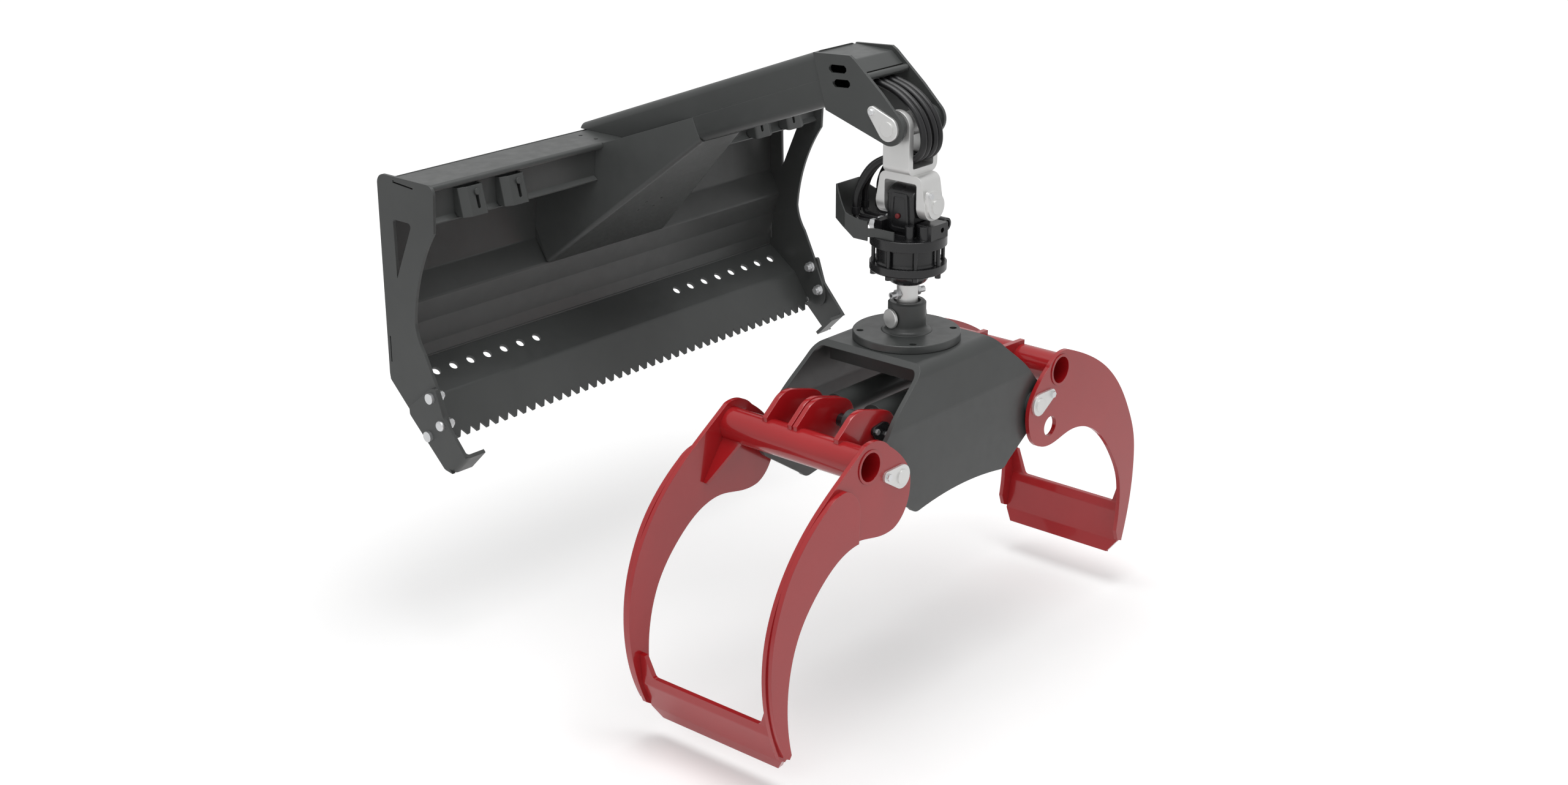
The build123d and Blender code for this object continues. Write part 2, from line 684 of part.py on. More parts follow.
# ---- Rotator body: motor housing, lower flange and the cone round the shaft
with BuildPart() as rotator_body:
    with BuildSketch(Plane.XZ.offset(-head_y)):
        with BuildLine():
            Polyline((shaft_r + pin_gap, 660), (shaft_r + pin_gap, 545), (46, 545))
            ThreePointArc((46, 545), (60, 556), (66, 576))
            Polyline((66, 576), (66, flange_low_z), (flange_r - 2, flange_low_z), (flange_r, flange_low_z + 3),
                     (flange_r, flange_low_z + 25), (100, flange_low_z + 25), (96, flange_low_z + 31),
                     (96, flange_top_z - 38), (99, flange_top_z - 38), (99, flange_top_z - 30), (0, flange_top_z - 30),
                     (0, 660), (shaft_r + pin_gap, 660))
        make_face()
    revolve(axis=Axis((0, head_y, 0), (0, 0, 1)))
    with BuildSketch(axis_plane.offset(flange_low_z - 1)):
        with PolarLocations(flange_r - 10, rotator_bolts, start_angle=4):
            Circle(6)
    extrude(amount=80, mode=Mode.SUBTRACT)
save(rotator_body.part, "rotator_body")

with BuildPart() as rotator_bolt_set:
    with BuildSketch(axis_plane.offset(flange_low_z)):
        with PolarLocations(flange_r - 10, rotator_bolts, start_angle=4):
            Circle(9)
    extrude(amount=-12)
    with BuildSketch(axis_plane.offset(flange_low_z)):
        with PolarLocations(flange_r - 10, rotator_bolts, start_angle=4):
            Circle(6)
    extrude(amount=flange_top_z - 13 - flange_low_z)
save(rotator_bolt_set.part, "rotator_bolts")


# ---- Hose guard: bent sheet behind the rotator with straps over the flange
def guard_block(inset):
    """Outer or inner form of the guard, with its rear bottom edges sloping in."""
    with BuildPart() as block:
        with BuildSketch(Plane.XY.offset(686)):
            with BuildLine():
                Polyline((-120 + inset, -1062), (-120 + inset, -977 - inset * 0.3),
                         (-55 + inset * 0.6, -889 - inset), (55 - inset * 0.6, -889 - inset),
                         (120 - inset, -977 - inset * 0.3), (120 - inset, -1062), close=True)
            make_face()
        extrude(amount=132)
        rear_low = block.faces().sort_by(Axis.Z)[0].edges().filter_by(lambda e: e.center().Y > -1000)
        chamfer(rear_low, 26, 20)
    return block.part


guard_outer = guard_block(0)
guard_hollow = guard_block(4)
with BuildPart() as hose_guard:
    add(guard_outer)
    add(guard_hollow, mode=Mode.SUBTRACT)
    with BuildSketch(Plane.XY.offset(680)):
        with Locations((0, -990)):
            Rectangle(232, 150)
    extrude(amount=7, mode=Mode.SUBTRACT)
    with BuildSketch(Plane.XY.offset(680)):
        with Locations((0, -1040)):
            Rectangle(232, 80)
    extrude(amount=150, mode=Mode.SUBTRACT)
    with BuildSketch(Plane.YZ.offset(-130)):
        with BuildLine():
            ThreePointArc((-893, 818), (-962, 766), (-1063, 745))
            Polyline((-1063, 745), (-1063, 830), (-880, 830), (-893, 818))
        make_face()
    extrude(amount=260, mode=Mode.SUBTRACT)
    for side in (-1, 1):
        with BuildSketch(Plane.XY.offset(flange_top_z)):
            with BuildLine():
                Polyline((side * 120, -1061), (side * 106, -1082), (side * 106, -1150), (side * 101, -1150),
                         (side * 101, -1084), (side * 116, -1061), close=True)
            make_face()
        extrude(amount=27)
save(hose_guard.part, "hose_guard")

# ---- Elbow fittings from the rear ports up to the hose ends
hose_ends = {38: (57, -968), 15.5: (19, -943)}
fitting_top = 762
with BuildPart() as hose_fittings:
    for port_x, elbow_y in hose_ends.values():
        for side in (-1, 1):
            with BuildLine():
                elbow = FilletPolyline((side * port_x, elbow_y, fitting_top - 20), (side * port_x, elbow_y, port_z),
                                       (side * port_x, head_y + 76, port_z), radius=17)
            with BuildSketch(Plane(origin=elbow @ 0, z_dir=elbow % 0)):
                Circle(8)
            sweep()
            with BuildSketch(Plane.XY.offset(fitting_top - 22)):
                with Locations((side * port_x, elbow_y)):
                    Circle(12.5)
            extrude(amount=22)
    with BuildSketch(Plane.XZ.offset(-head_y - 75)):
        with Locations(*[(side * x, port_z) for side in (-1, 1) for x, _ in hose_ends.values()]):
            RegularPolygon(16, 6)
    extrude(amount=-20)
save(hose_fittings.part, "hose_fittings")


# ---- Hoses: the upper loop over the head pin and the lower loop down into the guard
def loop_radii(points):
    """Largest tangent arc for each corner of a route: 0.45 of its shorter run."""
    radii = []
    for before, corner, after in zip(points, points[1:], points[2:]):
        arrive = Vector(*corner) - Vector(*before)
        leave = Vector(*after) - Vector(*corner)
        half_turn = radians(arrive.get_angle(leave)) / 2
        radii.append(0.45 * min(arrive.length, leave.length) / tan(half_turn))
    return radii


upper_route = [(-950, 1151), (-1000, 1150), (-1045, 1141), (-1095, 1127), (-1142, 1100), (-1180, 1063), (-1201, 1018),
               (-1203, 973), (-1182, 941), (-1150, 928), (-1125, 928)]
lower_routes = {
    38: [(38, -1125, 928), (38, -1096, 928), (38, -1058, 916), (38, -1022, 893), (41, -994, 858), (49, -975, 820),
         (57, -968, 787), (57, -968, fitting_top)],
    15.5: [(15.5, -1125, 928), (15.5, -1086, 928), (15.5, -1040, 914), (15.5, -996, 888), (15.5, -964, 848),
           (17, -948, 812), (19, -943, 785), (19, -943, fitting_top)],
}
with BuildPart() as upper_hoses:
    for hose_x in hose_xs:
        for side in (-1, 1):
            route = [(side * hose_x, y, z) for y, z in upper_route]
            radii = loop_radii(route)
            with BuildLine():
                run = FilletPolyline(*route, radius=radii)
            with BuildSketch(Plane(origin=run @ 0, z_dir=run % 0)):
                Circle(hose_r)
            sweep()
            print("upper hose", side * hose_x, "length", round(run.length), "radii", [round(r) for r in radii])
save(upper_hoses.part, "upper_hoses")
with BuildPart() as lower_hoses:
    for hose_x, points in lower_routes.items():
        for side in (-1, 1):
            route = [(side * x, y, z) for x, y, z in points]
            radii = loop_radii(route)
            with BuildLine():
                run = FilletPolyline(*route, radius=radii)
            with BuildSketch(Plane(origin=run @ 0, z_dir=run % 0)):
                Circle(hose_r)
            sweep()
            print("lower hose", side * hose_x, "length", round(run.length), "radii", [round(r) for r in radii])
save(lower_hoses.part, "lower_hoses")

# ---- Rotator output: shaft, fittings, collar, cross pin and mounting disc
disc_top_z = frame_top_z + disc_gauge
cross_turn = -14
cross_dir = (cos(radians(cross_turn)), sin(radians(cross_turn)), 0)
with BuildPart() as rotator_shaft:
    with BuildSketch(axis_plane.offset(disc_top_z)):
        Circle(shaft_r)
    extrude(amount=655 - disc_top_z)
    with BuildSketch(Plane(origin=(0, head_y, 440), z_dir=cross_dir)):
        Circle(16)
    extrude(amount=60, both=True, mode=Mode.SUBTRACT)
    with BuildSketch(Plane(origin=(0, head_y, 512), z_dir=cross_dir)):
        Circle(8)
    extrude(amount=60, both=True, mode=Mode.SUBTRACT)
save(rotator_shaft.part, "rotator_shaft")

with BuildPart() as shaft_fittings:
    for side in (-1, 1):
        out = Plane(origin=(0, head_y, 512), z_dir=(side * cross_dir[0], side * cross_dir[1], 0))
        with BuildSketch(out.offset(shaft_r - 10)):
            Circle(8)
        extrude(amount=10)
        with BuildSketch(out.offset(shaft_r)):
            RegularPolygon(15, 6)
        extrude(amount=13)
        with BuildSketch(out.offset(shaft_r + 13)):
            Circle(10)
        extrude(amount=18)
        with BuildSketch(out.offset(shaft_r + 11)):
            Circle(5.5)
        extrude(amount=25, mode=Mode.SUBTRACT)
save(shaft_fittings.part, "shaft_fittings")

with BuildPart() as hub_collar:
    with BuildSketch(Plane.XZ.offset(-head_y)):
        with BuildLine():
            Polyline((shaft_r, disc_top_z), (78, disc_top_z))
            ThreePointArc((78, disc_top_z), (64, disc_top_z + 6), (collar_r, disc_top_z + 20))
            Polyline((collar_r, disc_top_z + 20), (collar_r, collar_top_z - 5), (collar_r - 5, collar_top_z),
                     (shaft_r + 9, collar_top_z), (shaft_r + 9, collar_top_z - 8), (shaft_r, collar_top_z - 8),
                     (shaft_r, disc_top_z))
        make_face()
    revolve(axis=Axis((0, head_y, 0), (0, 0, 1)))
    with BuildSketch(Plane(origin=(0, head_y, 440), z_dir=cross_dir)):
        Circle(16)
    extrude(amount=90, both=True, mode=Mode.SUBTRACT)
save(hub_collar.part, "hub_collar")

with BuildPart() as collar_pin:
    pin_plane = Plane(origin=(0, head_y, 440), z_dir=cross_dir)
    with BuildSketch(pin_plane.offset(-collar_r - 1)):
        Circle(16)
    extrude(amount=2 * collar_r + 8)
    with BuildSketch(pin_plane.offset(-collar_r - 1)):
        Circle(30)
    extrude(amount=-9)
    fillet(collar_pin.edges().filter_by(GeomType.CIRCLE).group_by(Axis.X)[0], 3)
save(collar_pin.part, "collar_pin")

with BuildPart() as mounting_disc:
    with BuildSketch(axis_plane.offset(frame_top_z)):
        Circle(disc_r)
        with PolarLocations(disc_hole_r, 4, start_angle=45):
            Circle(11, mode=Mode.SUBTRACT)
    extrude(amount=disc_gauge)
    chamfer(mounting_disc.edges().filter_by(GeomType.CIRCLE).sort_by(SortBy.LENGTH)[-2:], 2)
save(mounting_disc.part, "mounting_disc")

# ---- Grapple frame: a folded saddle with four pivot bosses and two inner ribs
frame_wall = 219
with BuildPart() as grapple_frame:
    with BuildSketch(Plane.YZ.offset(-450)):
        with BuildLine():
            FilletPolyline((head_y - frame_wall, -90), (head_y - frame_wall, 212), (head_y - 201, frame_top_z),
                           (head_y + 201, frame_top_z), (head_y + frame_wall, 212), (head_y + frame_wall, -90),
                           radius=[60, 40, 40, 60])
            offset(amount=frame_gauge, side=Side.RIGHT)
        make_face()
    extrude(amount=900)
    with BuildSketch(Plane.XZ.offset(-head_y)):
        with BuildLine():
            right_top = Spline((170, frame_top_z + 1), (240, 314), (335, 236), (402, 164), (pivot_x + 67, pivot_z),
                               tangents=[(1, -0.75), (0, -1)])
            ThreePointArc((pivot_x + 67, pivot_z), (pivot_x + 59, pivot_z - 32), (pivot_x + 36, pivot_z - 56))
            Line((pivot_x + 36, pivot_z - 56), (246, -56))
            ThreePointArc((246, -56), (229, -69), (208, -71))
            ThreePointArc((208, -71), (0, -53), (-208, -71))
            ThreePointArc((-208, -71), (-229, -69), (-246, -56))
            Line((-246, -56), (-pivot_x - 36, pivot_z - 56))
            ThreePointArc((-pivot_x - 36, pivot_z - 56), (-pivot_x - 59, pivot_z - 32), (-pivot_x - 67, pivot_z))
            Spline((-pivot_x - 67, pivot_z), (-402, 164), (-335, 236), (-240, 314), (-170, frame_top_z + 1),
                   tangents=[(0, 1), (1, 0.75)])
            Line((-170, frame_top_z + 1), (170, frame_top_z + 1))
        make_face()
    extrude(amount=frame_wall + 20, both=True, mode=Mode.INTERSECT)
    for side, reach in ((-1, left_outer_y - jaw_gauge - 1), (1, right_outer_y - jaw_gauge - 1)):
        for face in (-1, 1):
            with BuildSketch(jaw_plane(side, head_y + face * 190)):
                Circle(boss_r)
            extrude(amount=-side * face * (reach - 190))
    for side in (-1, 1):
        with BuildSketch(Plane.YZ.offset(side * 130 - 6)):
            with Locations((head_y, 325)):
                Rectangle(2 * 187, 62)
        extrude(amount=12)
    for side in (-1, 1):
        with BuildSketch(jaw_plane(side, head_y)):
            Circle(pin_r + pin_gap)
        extrude(amount=300, both=True, mode=Mode.SUBTRACT)
save(grapple_frame.part, "grapple_frame")


# ---- Jaws
def jaw_plate(side, face, outer_y, tube, outer_edge, tip, inner_edge, extra_hole):
    """One curved side plate of a jaw, from its outer face inwards."""
    with BuildPart() as plate:
        with BuildSketch(jaw_plane(side, head_y + face * outer_y)):
            with BuildLine():
                ThreePointArc((51, 107), (106, 140), outer_edge[0])
                Spline(*outer_edge)
                Polyline(outer_edge[-1], *tip, inner_edge[0])
                Spline(*inner_edge)
                Spline(inner_edge[-1], (-26, -115), (-48, -58), (-46, -4), (-14, 51), (51, 107))
            make_face()
            Circle(pin_r, mode=Mode.SUBTRACT)
            with Locations(tube):
                Circle(tube_r, mode=Mode.SUBTRACT)
            with Locations((65, 18)):
                Circle(6, mode=Mode.SUBTRACT)
            if extra_hole:
                with Locations((72, -94)):
                    Circle(33, mode=Mode.SUBTRACT)
        extrude(amount=side * face * jaw_gauge)
    return plate.part


def jaw_tube(side, outer_y, tube):
    """Cross tube through both side plates."""
    with BuildPart() as piece:
        with BuildSketch(jaw_plane(side, head_y)):
            with Locations(tube):
                Circle(tube_r)
                Circle(tube_r - tube_wall, mode=Mode.SUBTRACT)
        extrude(amount=outer_y + 3, both=True)
    return piece.part


def cross_plate(side, reach, path, grow_side, horn, lip):
    """Folded plate between the tips, with a horn at each end and clipped corners at the lip."""
    with BuildPart() as piece:
        with BuildSketch(jaw_plane(side, head_y)):
            with BuildLine():
                FilletPolyline(*path, radius=[18] * (len(path) - 2))
                offset(amount=16, side=grow_side)
            make_face()
        extrude(amount=reach, both=True)
        window = Plane(origin=(side * pivot_x, head_y, pivot_z), x_dir=(0, 1, 0), z_dir=(1, 0, 0))
        with BuildSketch(window):
            with BuildLine():
                FilletPolyline((-reach + 8, horn + 30), (-reach + 46, path[1][1]), (reach - 46, path[1][1]),
                               (reach - 8, horn + 30), radius=14)
                Line((reach - 8, horn + 30), (-reach + 8, horn + 30))
            make_face()
            for end in (-1, 1):
                with BuildLine():
                    Polyline((end * (reach - 30), lip - 2), (end * (reach + 5), lip + 46), (end * (reach + 5), lip - 40),
                             (end * (reach - 30), lip - 40), close=True)
                make_face()
        extrude(amount=side * 700, mode=Mode.SUBTRACT)
    return piece.part


def jaw_pins(side, outer_y):
    """Pivot pins with their keeper plates, one in each side plate."""
    with BuildPart() as pins:
        for face in (-1, 1):
            with BuildSketch(jaw_plane(side, head_y + face * outer_y)):
                Circle(36)
                with Locations((65, 18)):
                    Circle(17)
                make_hull()
                with Locations((65, 18)):
                    Circle(6, mode=Mode.SUBTRACT)
            extrude(amount=-side * face * 8)
            with BuildSketch(jaw_plane(side, head_y + face * (outer_y + 12))):
                Circle(pin_r)
            extrude(amount=side * face * (outer_y + 12 - 184))
    return pins.part


def keeper_bolts(side, outer_y):
    """Hexagon bolts through the keeper plates."""
    with BuildPart() as bolts:
        for face in (-1, 1):
            with BuildSketch(jaw_plane(side, head_y + face * (outer_y + 8))):
                with Locations((65, 18)):
                    RegularPolygon(11, 6)
            extrude(amount=-side * face * 8)
            with BuildSketch(jaw_plane(side, head_y + face * (outer_y + 8))):
                with Locations((65, 18)):
                    Circle(6)
            extrude(amount=side * face * (jaw_gauge + 8))
    return bolts.part


def jaw_lugs(side, tube, spans, end_r):
    """Cylinder lugs on the cross tube; spans lists the two faces of each plate."""
    with BuildPart() as lugs:
        for low, high in spans:
            with BuildSketch(jaw_plane(side, head_y + low)):
                with Locations(lug_pin):
                    Circle(end_r)
                with BuildLine():
                    Polyline((tube[0] + 18, tube[1] + 62), (tube[0] + 14, tube[1] - 44), (tube[0] - 30, tube[1] - 62),
                             close=True)
                make_face()
                make_hull()
                with Locations(lug_pin):
                    Circle(lug_pin_r, mode=Mode.SUBTRACT)
                with Locations(tube):
                    Circle(tube_r, mode=Mode.SUBTRACT)
            extrude(amount=-side * (high - low))
    return lugs.part


left_outer_edge = [(160, 138), (285, 57), (398, -27), (502, -144), (572, -292), (591, -423), (577, -557), (529, -700)]
right_outer_edge = [(158, 141), (291, 83), (394, 17), (484, -75), (550, -183), (588, -280), (597, -364), (587, -500),
                    (547, -654)]
left_inner_edge = [(491, -703), (513, -560), (502, -436), (458, -320), (378, -225), (280, -159), (190, -142),
                   (110, -156), (26, -156)]
right_inner_edge = [(510, -607), (521, -500), (508, -406), (465, -322), (377, -216), (259, -150), (183, -143),
                    (100, -157), (20, -148)]
left_tip = [(508, -714)]
right_tip = [(523, -644)]
left_set = (left_outer_y, left_tube, left_outer_edge, left_tip, left_inner_edge)
right_set = (right_outer_y, right_tube, right_outer_edge, right_tip, right_inner_edge)
save(jaw_plate(-1, -1, *left_set, False), "jaw_left_front_plate")
save(jaw_plate(-1, 1, *left_set, False), "jaw_left_rear_plate")
save(jaw_plate(1, -1, *right_set, True), "jaw_right_front_plate")
save(jaw_plate(1, 1, *right_set, False), "jaw_right_rear_plate")
save(jaw_tube(-1, left_outer_y, left_tube), "jaw_left_tube")
save(jaw_tube(1, right_outer_y, right_tube), "jaw_right_tube")
left_path = [(552, -533), (545, -600), (545, -628), (507, -720), (488, -759)]
right_path = [(565, -444), (570, -532), (558, -558), (540, -658), (523, -699)]
save(cross_plate(-1, left_outer_y - jaw_gauge, left_path, Side.RIGHT, -533, -759), "jaw_left_cross_plate")
save(cross_plate(1, right_outer_y - jaw_gauge, right_path, Side.LEFT, -444, -699), "jaw_right_cross_plate")
save(jaw_pins(-1, left_outer_y), "jaw_left_pivot_pins")
save(jaw_pins(1, right_outer_y), "jaw_right_pivot_pins")
save(keeper_bolts(1, right_outer_y), "jaw_right_pin_bolts")
left_lug_spans = [(-168, -150), (-14, 2), (6, 22), (100, 118)]
right_lug_spans = [(y - lug_gauge / 2, y + lug_gauge / 2) for y in cylinder_ys]
save(jaw_lugs(-1, left_tube, left_lug_spans, 65), "jaw_left_lugs")
save(jaw_lugs(1, right_tube, right_lug_spans, 55), "jaw_right_lugs")

# ---- Left jaw: doublers along the outside of both plates and a gusset under the tube
with BuildPart() as jaw_left_doublers:
    for face in (-1, 1):
        with BuildSketch(jaw_plane(-1, head_y + face * left_outer_y)):
            with BuildLine():
                ThreePointArc((200, -40), (225, 15), (262, 38))
                ThreePointArc((262, 38), (306, 32), (343, 12))
                Spline((343, 12), (427, -53), (498, -135), (539, -211), (572, -310), (585, -430), (569, -570),
                       (524, -692))
                Polyline((524, -692), (505, -702), (497, -690))
                Spline((497, -690), (515, -560), (504, -436), (460, -318), (381, -223), (284, -157), (205, -140))
                Line((205, -140), (200, -40))
            make_face()
        extrude(amount=face * doubler_gauge)
save(jaw_left_doublers.part, "jaw_left_doublers")

tube_x = -pivot_x - left_tube[0]
gusset_y = head_y + left_outer_y - jaw_gauge
gusset_plane = Plane(origin=(-548, gusset_y, 147), x_dir=(0, -1, 0), z_dir=(0.799, 0, -0.601))
with BuildPart() as jaw_left_gusset:
    with BuildSketch(gusset_plane):
        with BuildLine():
            Polyline((0, 0), (66, 0), (66, 10), (12, 151), (0, 151), close=True)
        make_face()
    extrude(amount=12)
    with BuildSketch(Plane.XZ.offset(-head_y)):
        with Locations((tube_x, pivot_z + left_tube[1])):
            Circle(tube_r)
    extrude(amount=left_outer_y, both=True, mode=Mode.SUBTRACT)
save(jaw_left_gusset.part, "jaw_left_gusset")

# ---- Cylinder pins: one through the left lugs, two in the right lugs
with BuildPart() as left_cylinder_pin:
    with BuildSketch(jaw_plane(-1, head_y - 168)):
        with Locations(lug_pin):
            Circle(lug_pin_r)
    extrude(amount=168 + 130)
    with BuildSketch(jaw_plane(-1, head_y - 168)):
        with Locations(lug_pin):
            Circle(33)
        with Locations((lug_pin[0] + 36, lug_pin[1] + 14)):
            Circle(14)
        make_hull()
    extrude(amount=-8)
save(left_cylinder_pin.part, "left_cylinder_pin")

end_bolt_spots = [(lug_pin[0] + 32, lug_pin[1] + 12), (lug_pin[0] - 12, lug_pin[1] - 8)]
with BuildPart() as jaw_left_pin_bolts:
    add(keeper_bolts(-1, left_outer_y))
    with BuildSketch(jaw_plane(-1, head_y - 176)):
        with Locations(*end_bolt_spots):
            RegularPolygon(9, 6)
    extrude(amount=-7)
save(jaw_left_pin_bolts.part, "jaw_left_pin_bolts")

pin_x = pivot_x + lug_pin[0]
pin_z = pivot_z + lug_pin[1]
clevis_half = 29
with BuildPart() as rod_pins:
    for y in cylinder_ys:
        with BuildSketch(Plane.XZ.offset(-head_y - y)):
            with Locations((pin_x, pin_z)):
                Circle(lug_pin_r)
        extrude(amount=clevis_half + 5, both=True)
save(rod_pins.part, "rod_pins")

# ---- Hydraulic cylinders: barrels with their base eyes and glands, rods with clevises
eye_half = 35
with BuildPart() as cylinder_barrels:
    for y in cylinder_ys:
        with BuildSketch(Plane.XZ.offset(-head_y - y)):
            with Locations((-pin_x, pin_z)):
                Circle(40)
        extrude(amount=eye_half, both=True)
        with BuildSketch(Plane(origin=(-pin_x, head_y + y, pin_z), z_dir=(1, 0, 0))):
            Circle(30)
        extrude(amount=72)
        with BuildSketch(Plane(origin=(-pin_x + 71, head_y + y, pin_z), z_dir=(1, 0, 0))):
            Circle(barrel_r)
        extrude(amount=barrel_length - 71 - 34)
        with BuildSketch(Plane(origin=(-pin_x + barrel_length - 34, head_y + y, pin_z), z_dir=(1, 0, 0))):
            Circle(barrel_r + 2)
        extrude(amount=34)
        with BuildSketch(Plane(origin=(-pin_x + 86, head_y + y, pin_z), z_dir=(1, 0, 0))):
            Circle(bore_r)
        extrude(amount=barrel_length - 86 - 34, mode=Mode.SUBTRACT)
        with BuildSketch(Plane(origin=(-pin_x + barrel_length - 40, head_y + y, pin_z), z_dir=(1, 0, 0))):
            Circle(rod_r + pin_gap)
        extrude(amount=45, mode=Mode.SUBTRACT)
        with BuildSketch(Plane.XZ.offset(-head_y - y)):
            with Locations((-pin_x, pin_z)):
                Circle(lug_pin_r + pin_gap)
        extrude(amount=eye_half + 5, both=True, mode=Mode.SUBTRACT)
save(cylinder_barrels.part, "cylinder_barrels")

with BuildPart() as cylinder_rods:
    for y in cylinder_ys:
        with BuildSketch(Plane(origin=(pin_x - 52, head_y + y, pin_z), z_dir=(-1, 0, 0))):
            Circle(rod_r)
        extrude(amount=rod_length - 52)
        with BuildSketch(Plane(origin=(pin_x - rod_length, head_y + y, pin_z), z_dir=(1, 0, 0))):
            Circle(bore_r - pin_gap)
        extrude(amount=30)
        with BuildSketch(Plane.XZ.offset(-head_y - y)):
            with Locations((pin_x, pin_z)):
                Circle(34)
            with Locations((pin_x - 45, pin_z)):
                Rectangle(76, 60)
        extrude(amount=clevis_half, both=True)
        with BuildSketch(Plane.XZ.offset(-head_y - y)):
            with Locations((pin_x, pin_z)):
                Circle(lug_pin_r + pin_gap)
        extrude(amount=clevis_half + 5, both=True, mode=Mode.SUBTRACT)
        with BuildSketch(Plane.XZ.offset(-head_y - y)):
            with Locations((pin_x + 20, pin_z)):
                Rectangle(158, 130)
        extrude(amount=lug_gauge / 2 + 1.5, both=True, mode=Mode.SUBTRACT)
save(cylinder_rods.part, "cylinder_rods")
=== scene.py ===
"""Finishes, hoses and studio view for a forestry grapple that hangs from a toothed blade.

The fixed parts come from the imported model. The first operators paint them, the next ones model the left jaw's lugs,
a weld seam and the flexible hoses, and the last one builds the studio. Running this file as a script registers the
classes and calls every operator.
"""

from math import radians

import bpy
from mathutils import Matrix, Vector


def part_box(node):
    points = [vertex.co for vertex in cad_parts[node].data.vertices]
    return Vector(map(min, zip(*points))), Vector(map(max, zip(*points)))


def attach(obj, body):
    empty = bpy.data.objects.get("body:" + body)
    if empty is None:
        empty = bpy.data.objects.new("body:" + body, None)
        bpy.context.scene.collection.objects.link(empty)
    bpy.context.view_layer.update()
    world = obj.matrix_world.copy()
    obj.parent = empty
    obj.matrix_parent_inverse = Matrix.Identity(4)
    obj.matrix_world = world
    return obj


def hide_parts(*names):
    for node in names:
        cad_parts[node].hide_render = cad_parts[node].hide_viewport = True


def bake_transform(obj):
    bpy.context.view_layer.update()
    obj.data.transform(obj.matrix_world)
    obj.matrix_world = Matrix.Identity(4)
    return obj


bl_info = {
    "name": "Forestry Grapple Finishes",
    "version": (1, 0, 0),
    "blender": (4, 5, 0),
    "location": "3D View > Sidebar > Grapple",
    "description": "Paints the grapple, models its hoses, lugs and seam, and sets up a studio view",
    "category": "Object",
}

PAINTED_PLATES = (
    "arm_brace", "arm_lower_shell", "arm_upper_shell", "back_wall", "grapple_frame", "head_cheek_left",
    "head_cheek_right", "head_cover", "head_cross_bar", "hitch_brackets", "hook_plate_left", "hook_plate_right",
    "hose_guard", "hub_collar", "mounting_disc", "side_plate_left", "side_plate_right", "slotted_brackets",
    "toothed_mouldboard", "top_beam", "bracket_bolts", "cylinder_barrels",
)
RED_PARTS = (
    "jaw_left_cross_plate", "jaw_left_doublers", "jaw_left_front_plate", "jaw_left_gusset", "jaw_left_lugs",
    "jaw_left_rear_plate", "jaw_left_tube", "jaw_right_cross_plate", "jaw_right_front_plate", "jaw_right_lugs",
    "jaw_right_rear_plate", "jaw_right_tube",
)
BRUSHED_PARTS = ("link_strap", "link_fork", "link_sleeve")
TURNED_PARTS = (
    "head_pin", "fork_pin", "collar_pin", "rotator_shaft", "jaw_left_pivot_pins", "jaw_right_pivot_pins", "rod_pins",
    "cylinder_rods",
)
PLATED_PARTS = (
    "hook_bolts", "hook_nuts", "head_pin_bolt", "fork_pin_bolt", "shaft_fittings", "jaw_left_pin_bolts",
    "jaw_right_pin_bolts",
)
CAST_PARTS = ("rotator_body", "rotator_head", "rotator_bolts", "left_cylinder_pin")

QUARTER_TURN = radians(90)

# Metallic value of the zinc plating, and how much lighter than the castings the black ferrules are
PLATING_METALLIC = 0.85
FERRULE_TONE = 1.6

# Left jaw's pivot, and where each cylinder lug starts and ends in depth
LEFT_PIVOT = Vector((-0.370, 0, 0.104))
LUG_SPANS = ((-1.293, -1.275), (-1.139, -1.123), (-1.119, -1.103), (-1.025, -1.007))
# Lug outline, outward from the pivot and up: the cylinder pin, and the corners at the tube
LUG_PIN = (-0.038, 0.098)
LUG_CORNERS = ((0.157, 0.130), (0.152, 0.030), (0.112, 0.012))
LUG_CORNER_RADIUS = 0.003

# Upper hoses in side view: depth and height of each route point
UPPER_ROUTE = (
    (-0.950, 1.151), (-1.000, 1.150), (-1.045, 1.141), (-1.095, 1.127), (-1.142, 1.100), (-1.180, 1.063),
    (-1.201, 1.018), (-1.203, 0.973), (-1.182, 0.941), (-1.150, 0.928), (-1.125, 0.928),
)

# Floor: its size, and the middle and the reach of the glow that fades from near to far
FLOOR_SIZE = 60
GLOW_MIDDLE = (-0.2, -1.0, 0)
GLOW_REACH = (0.8, 4.0)

# Lights, both turned to one point of the grapple
LIGHT_TARGET = (0, -0.8, 0.3)
LIGHT_SIZE = 3.0
TOP_LIGHT_PLACE = (-0.3, -1.2, 4.2)
KEY_LIGHT_PLACE = (-5.5, -2.5, 2.8)

# Camera: its place, and the directions to its right and behind it
CAMERA_PLACE = (-4.8799, -4.8219, 2.4663)
CAMERA_RIGHT = (0.651, -0.759, 0)
CAMERA_BACK = (-0.711, -0.610, 0.349)


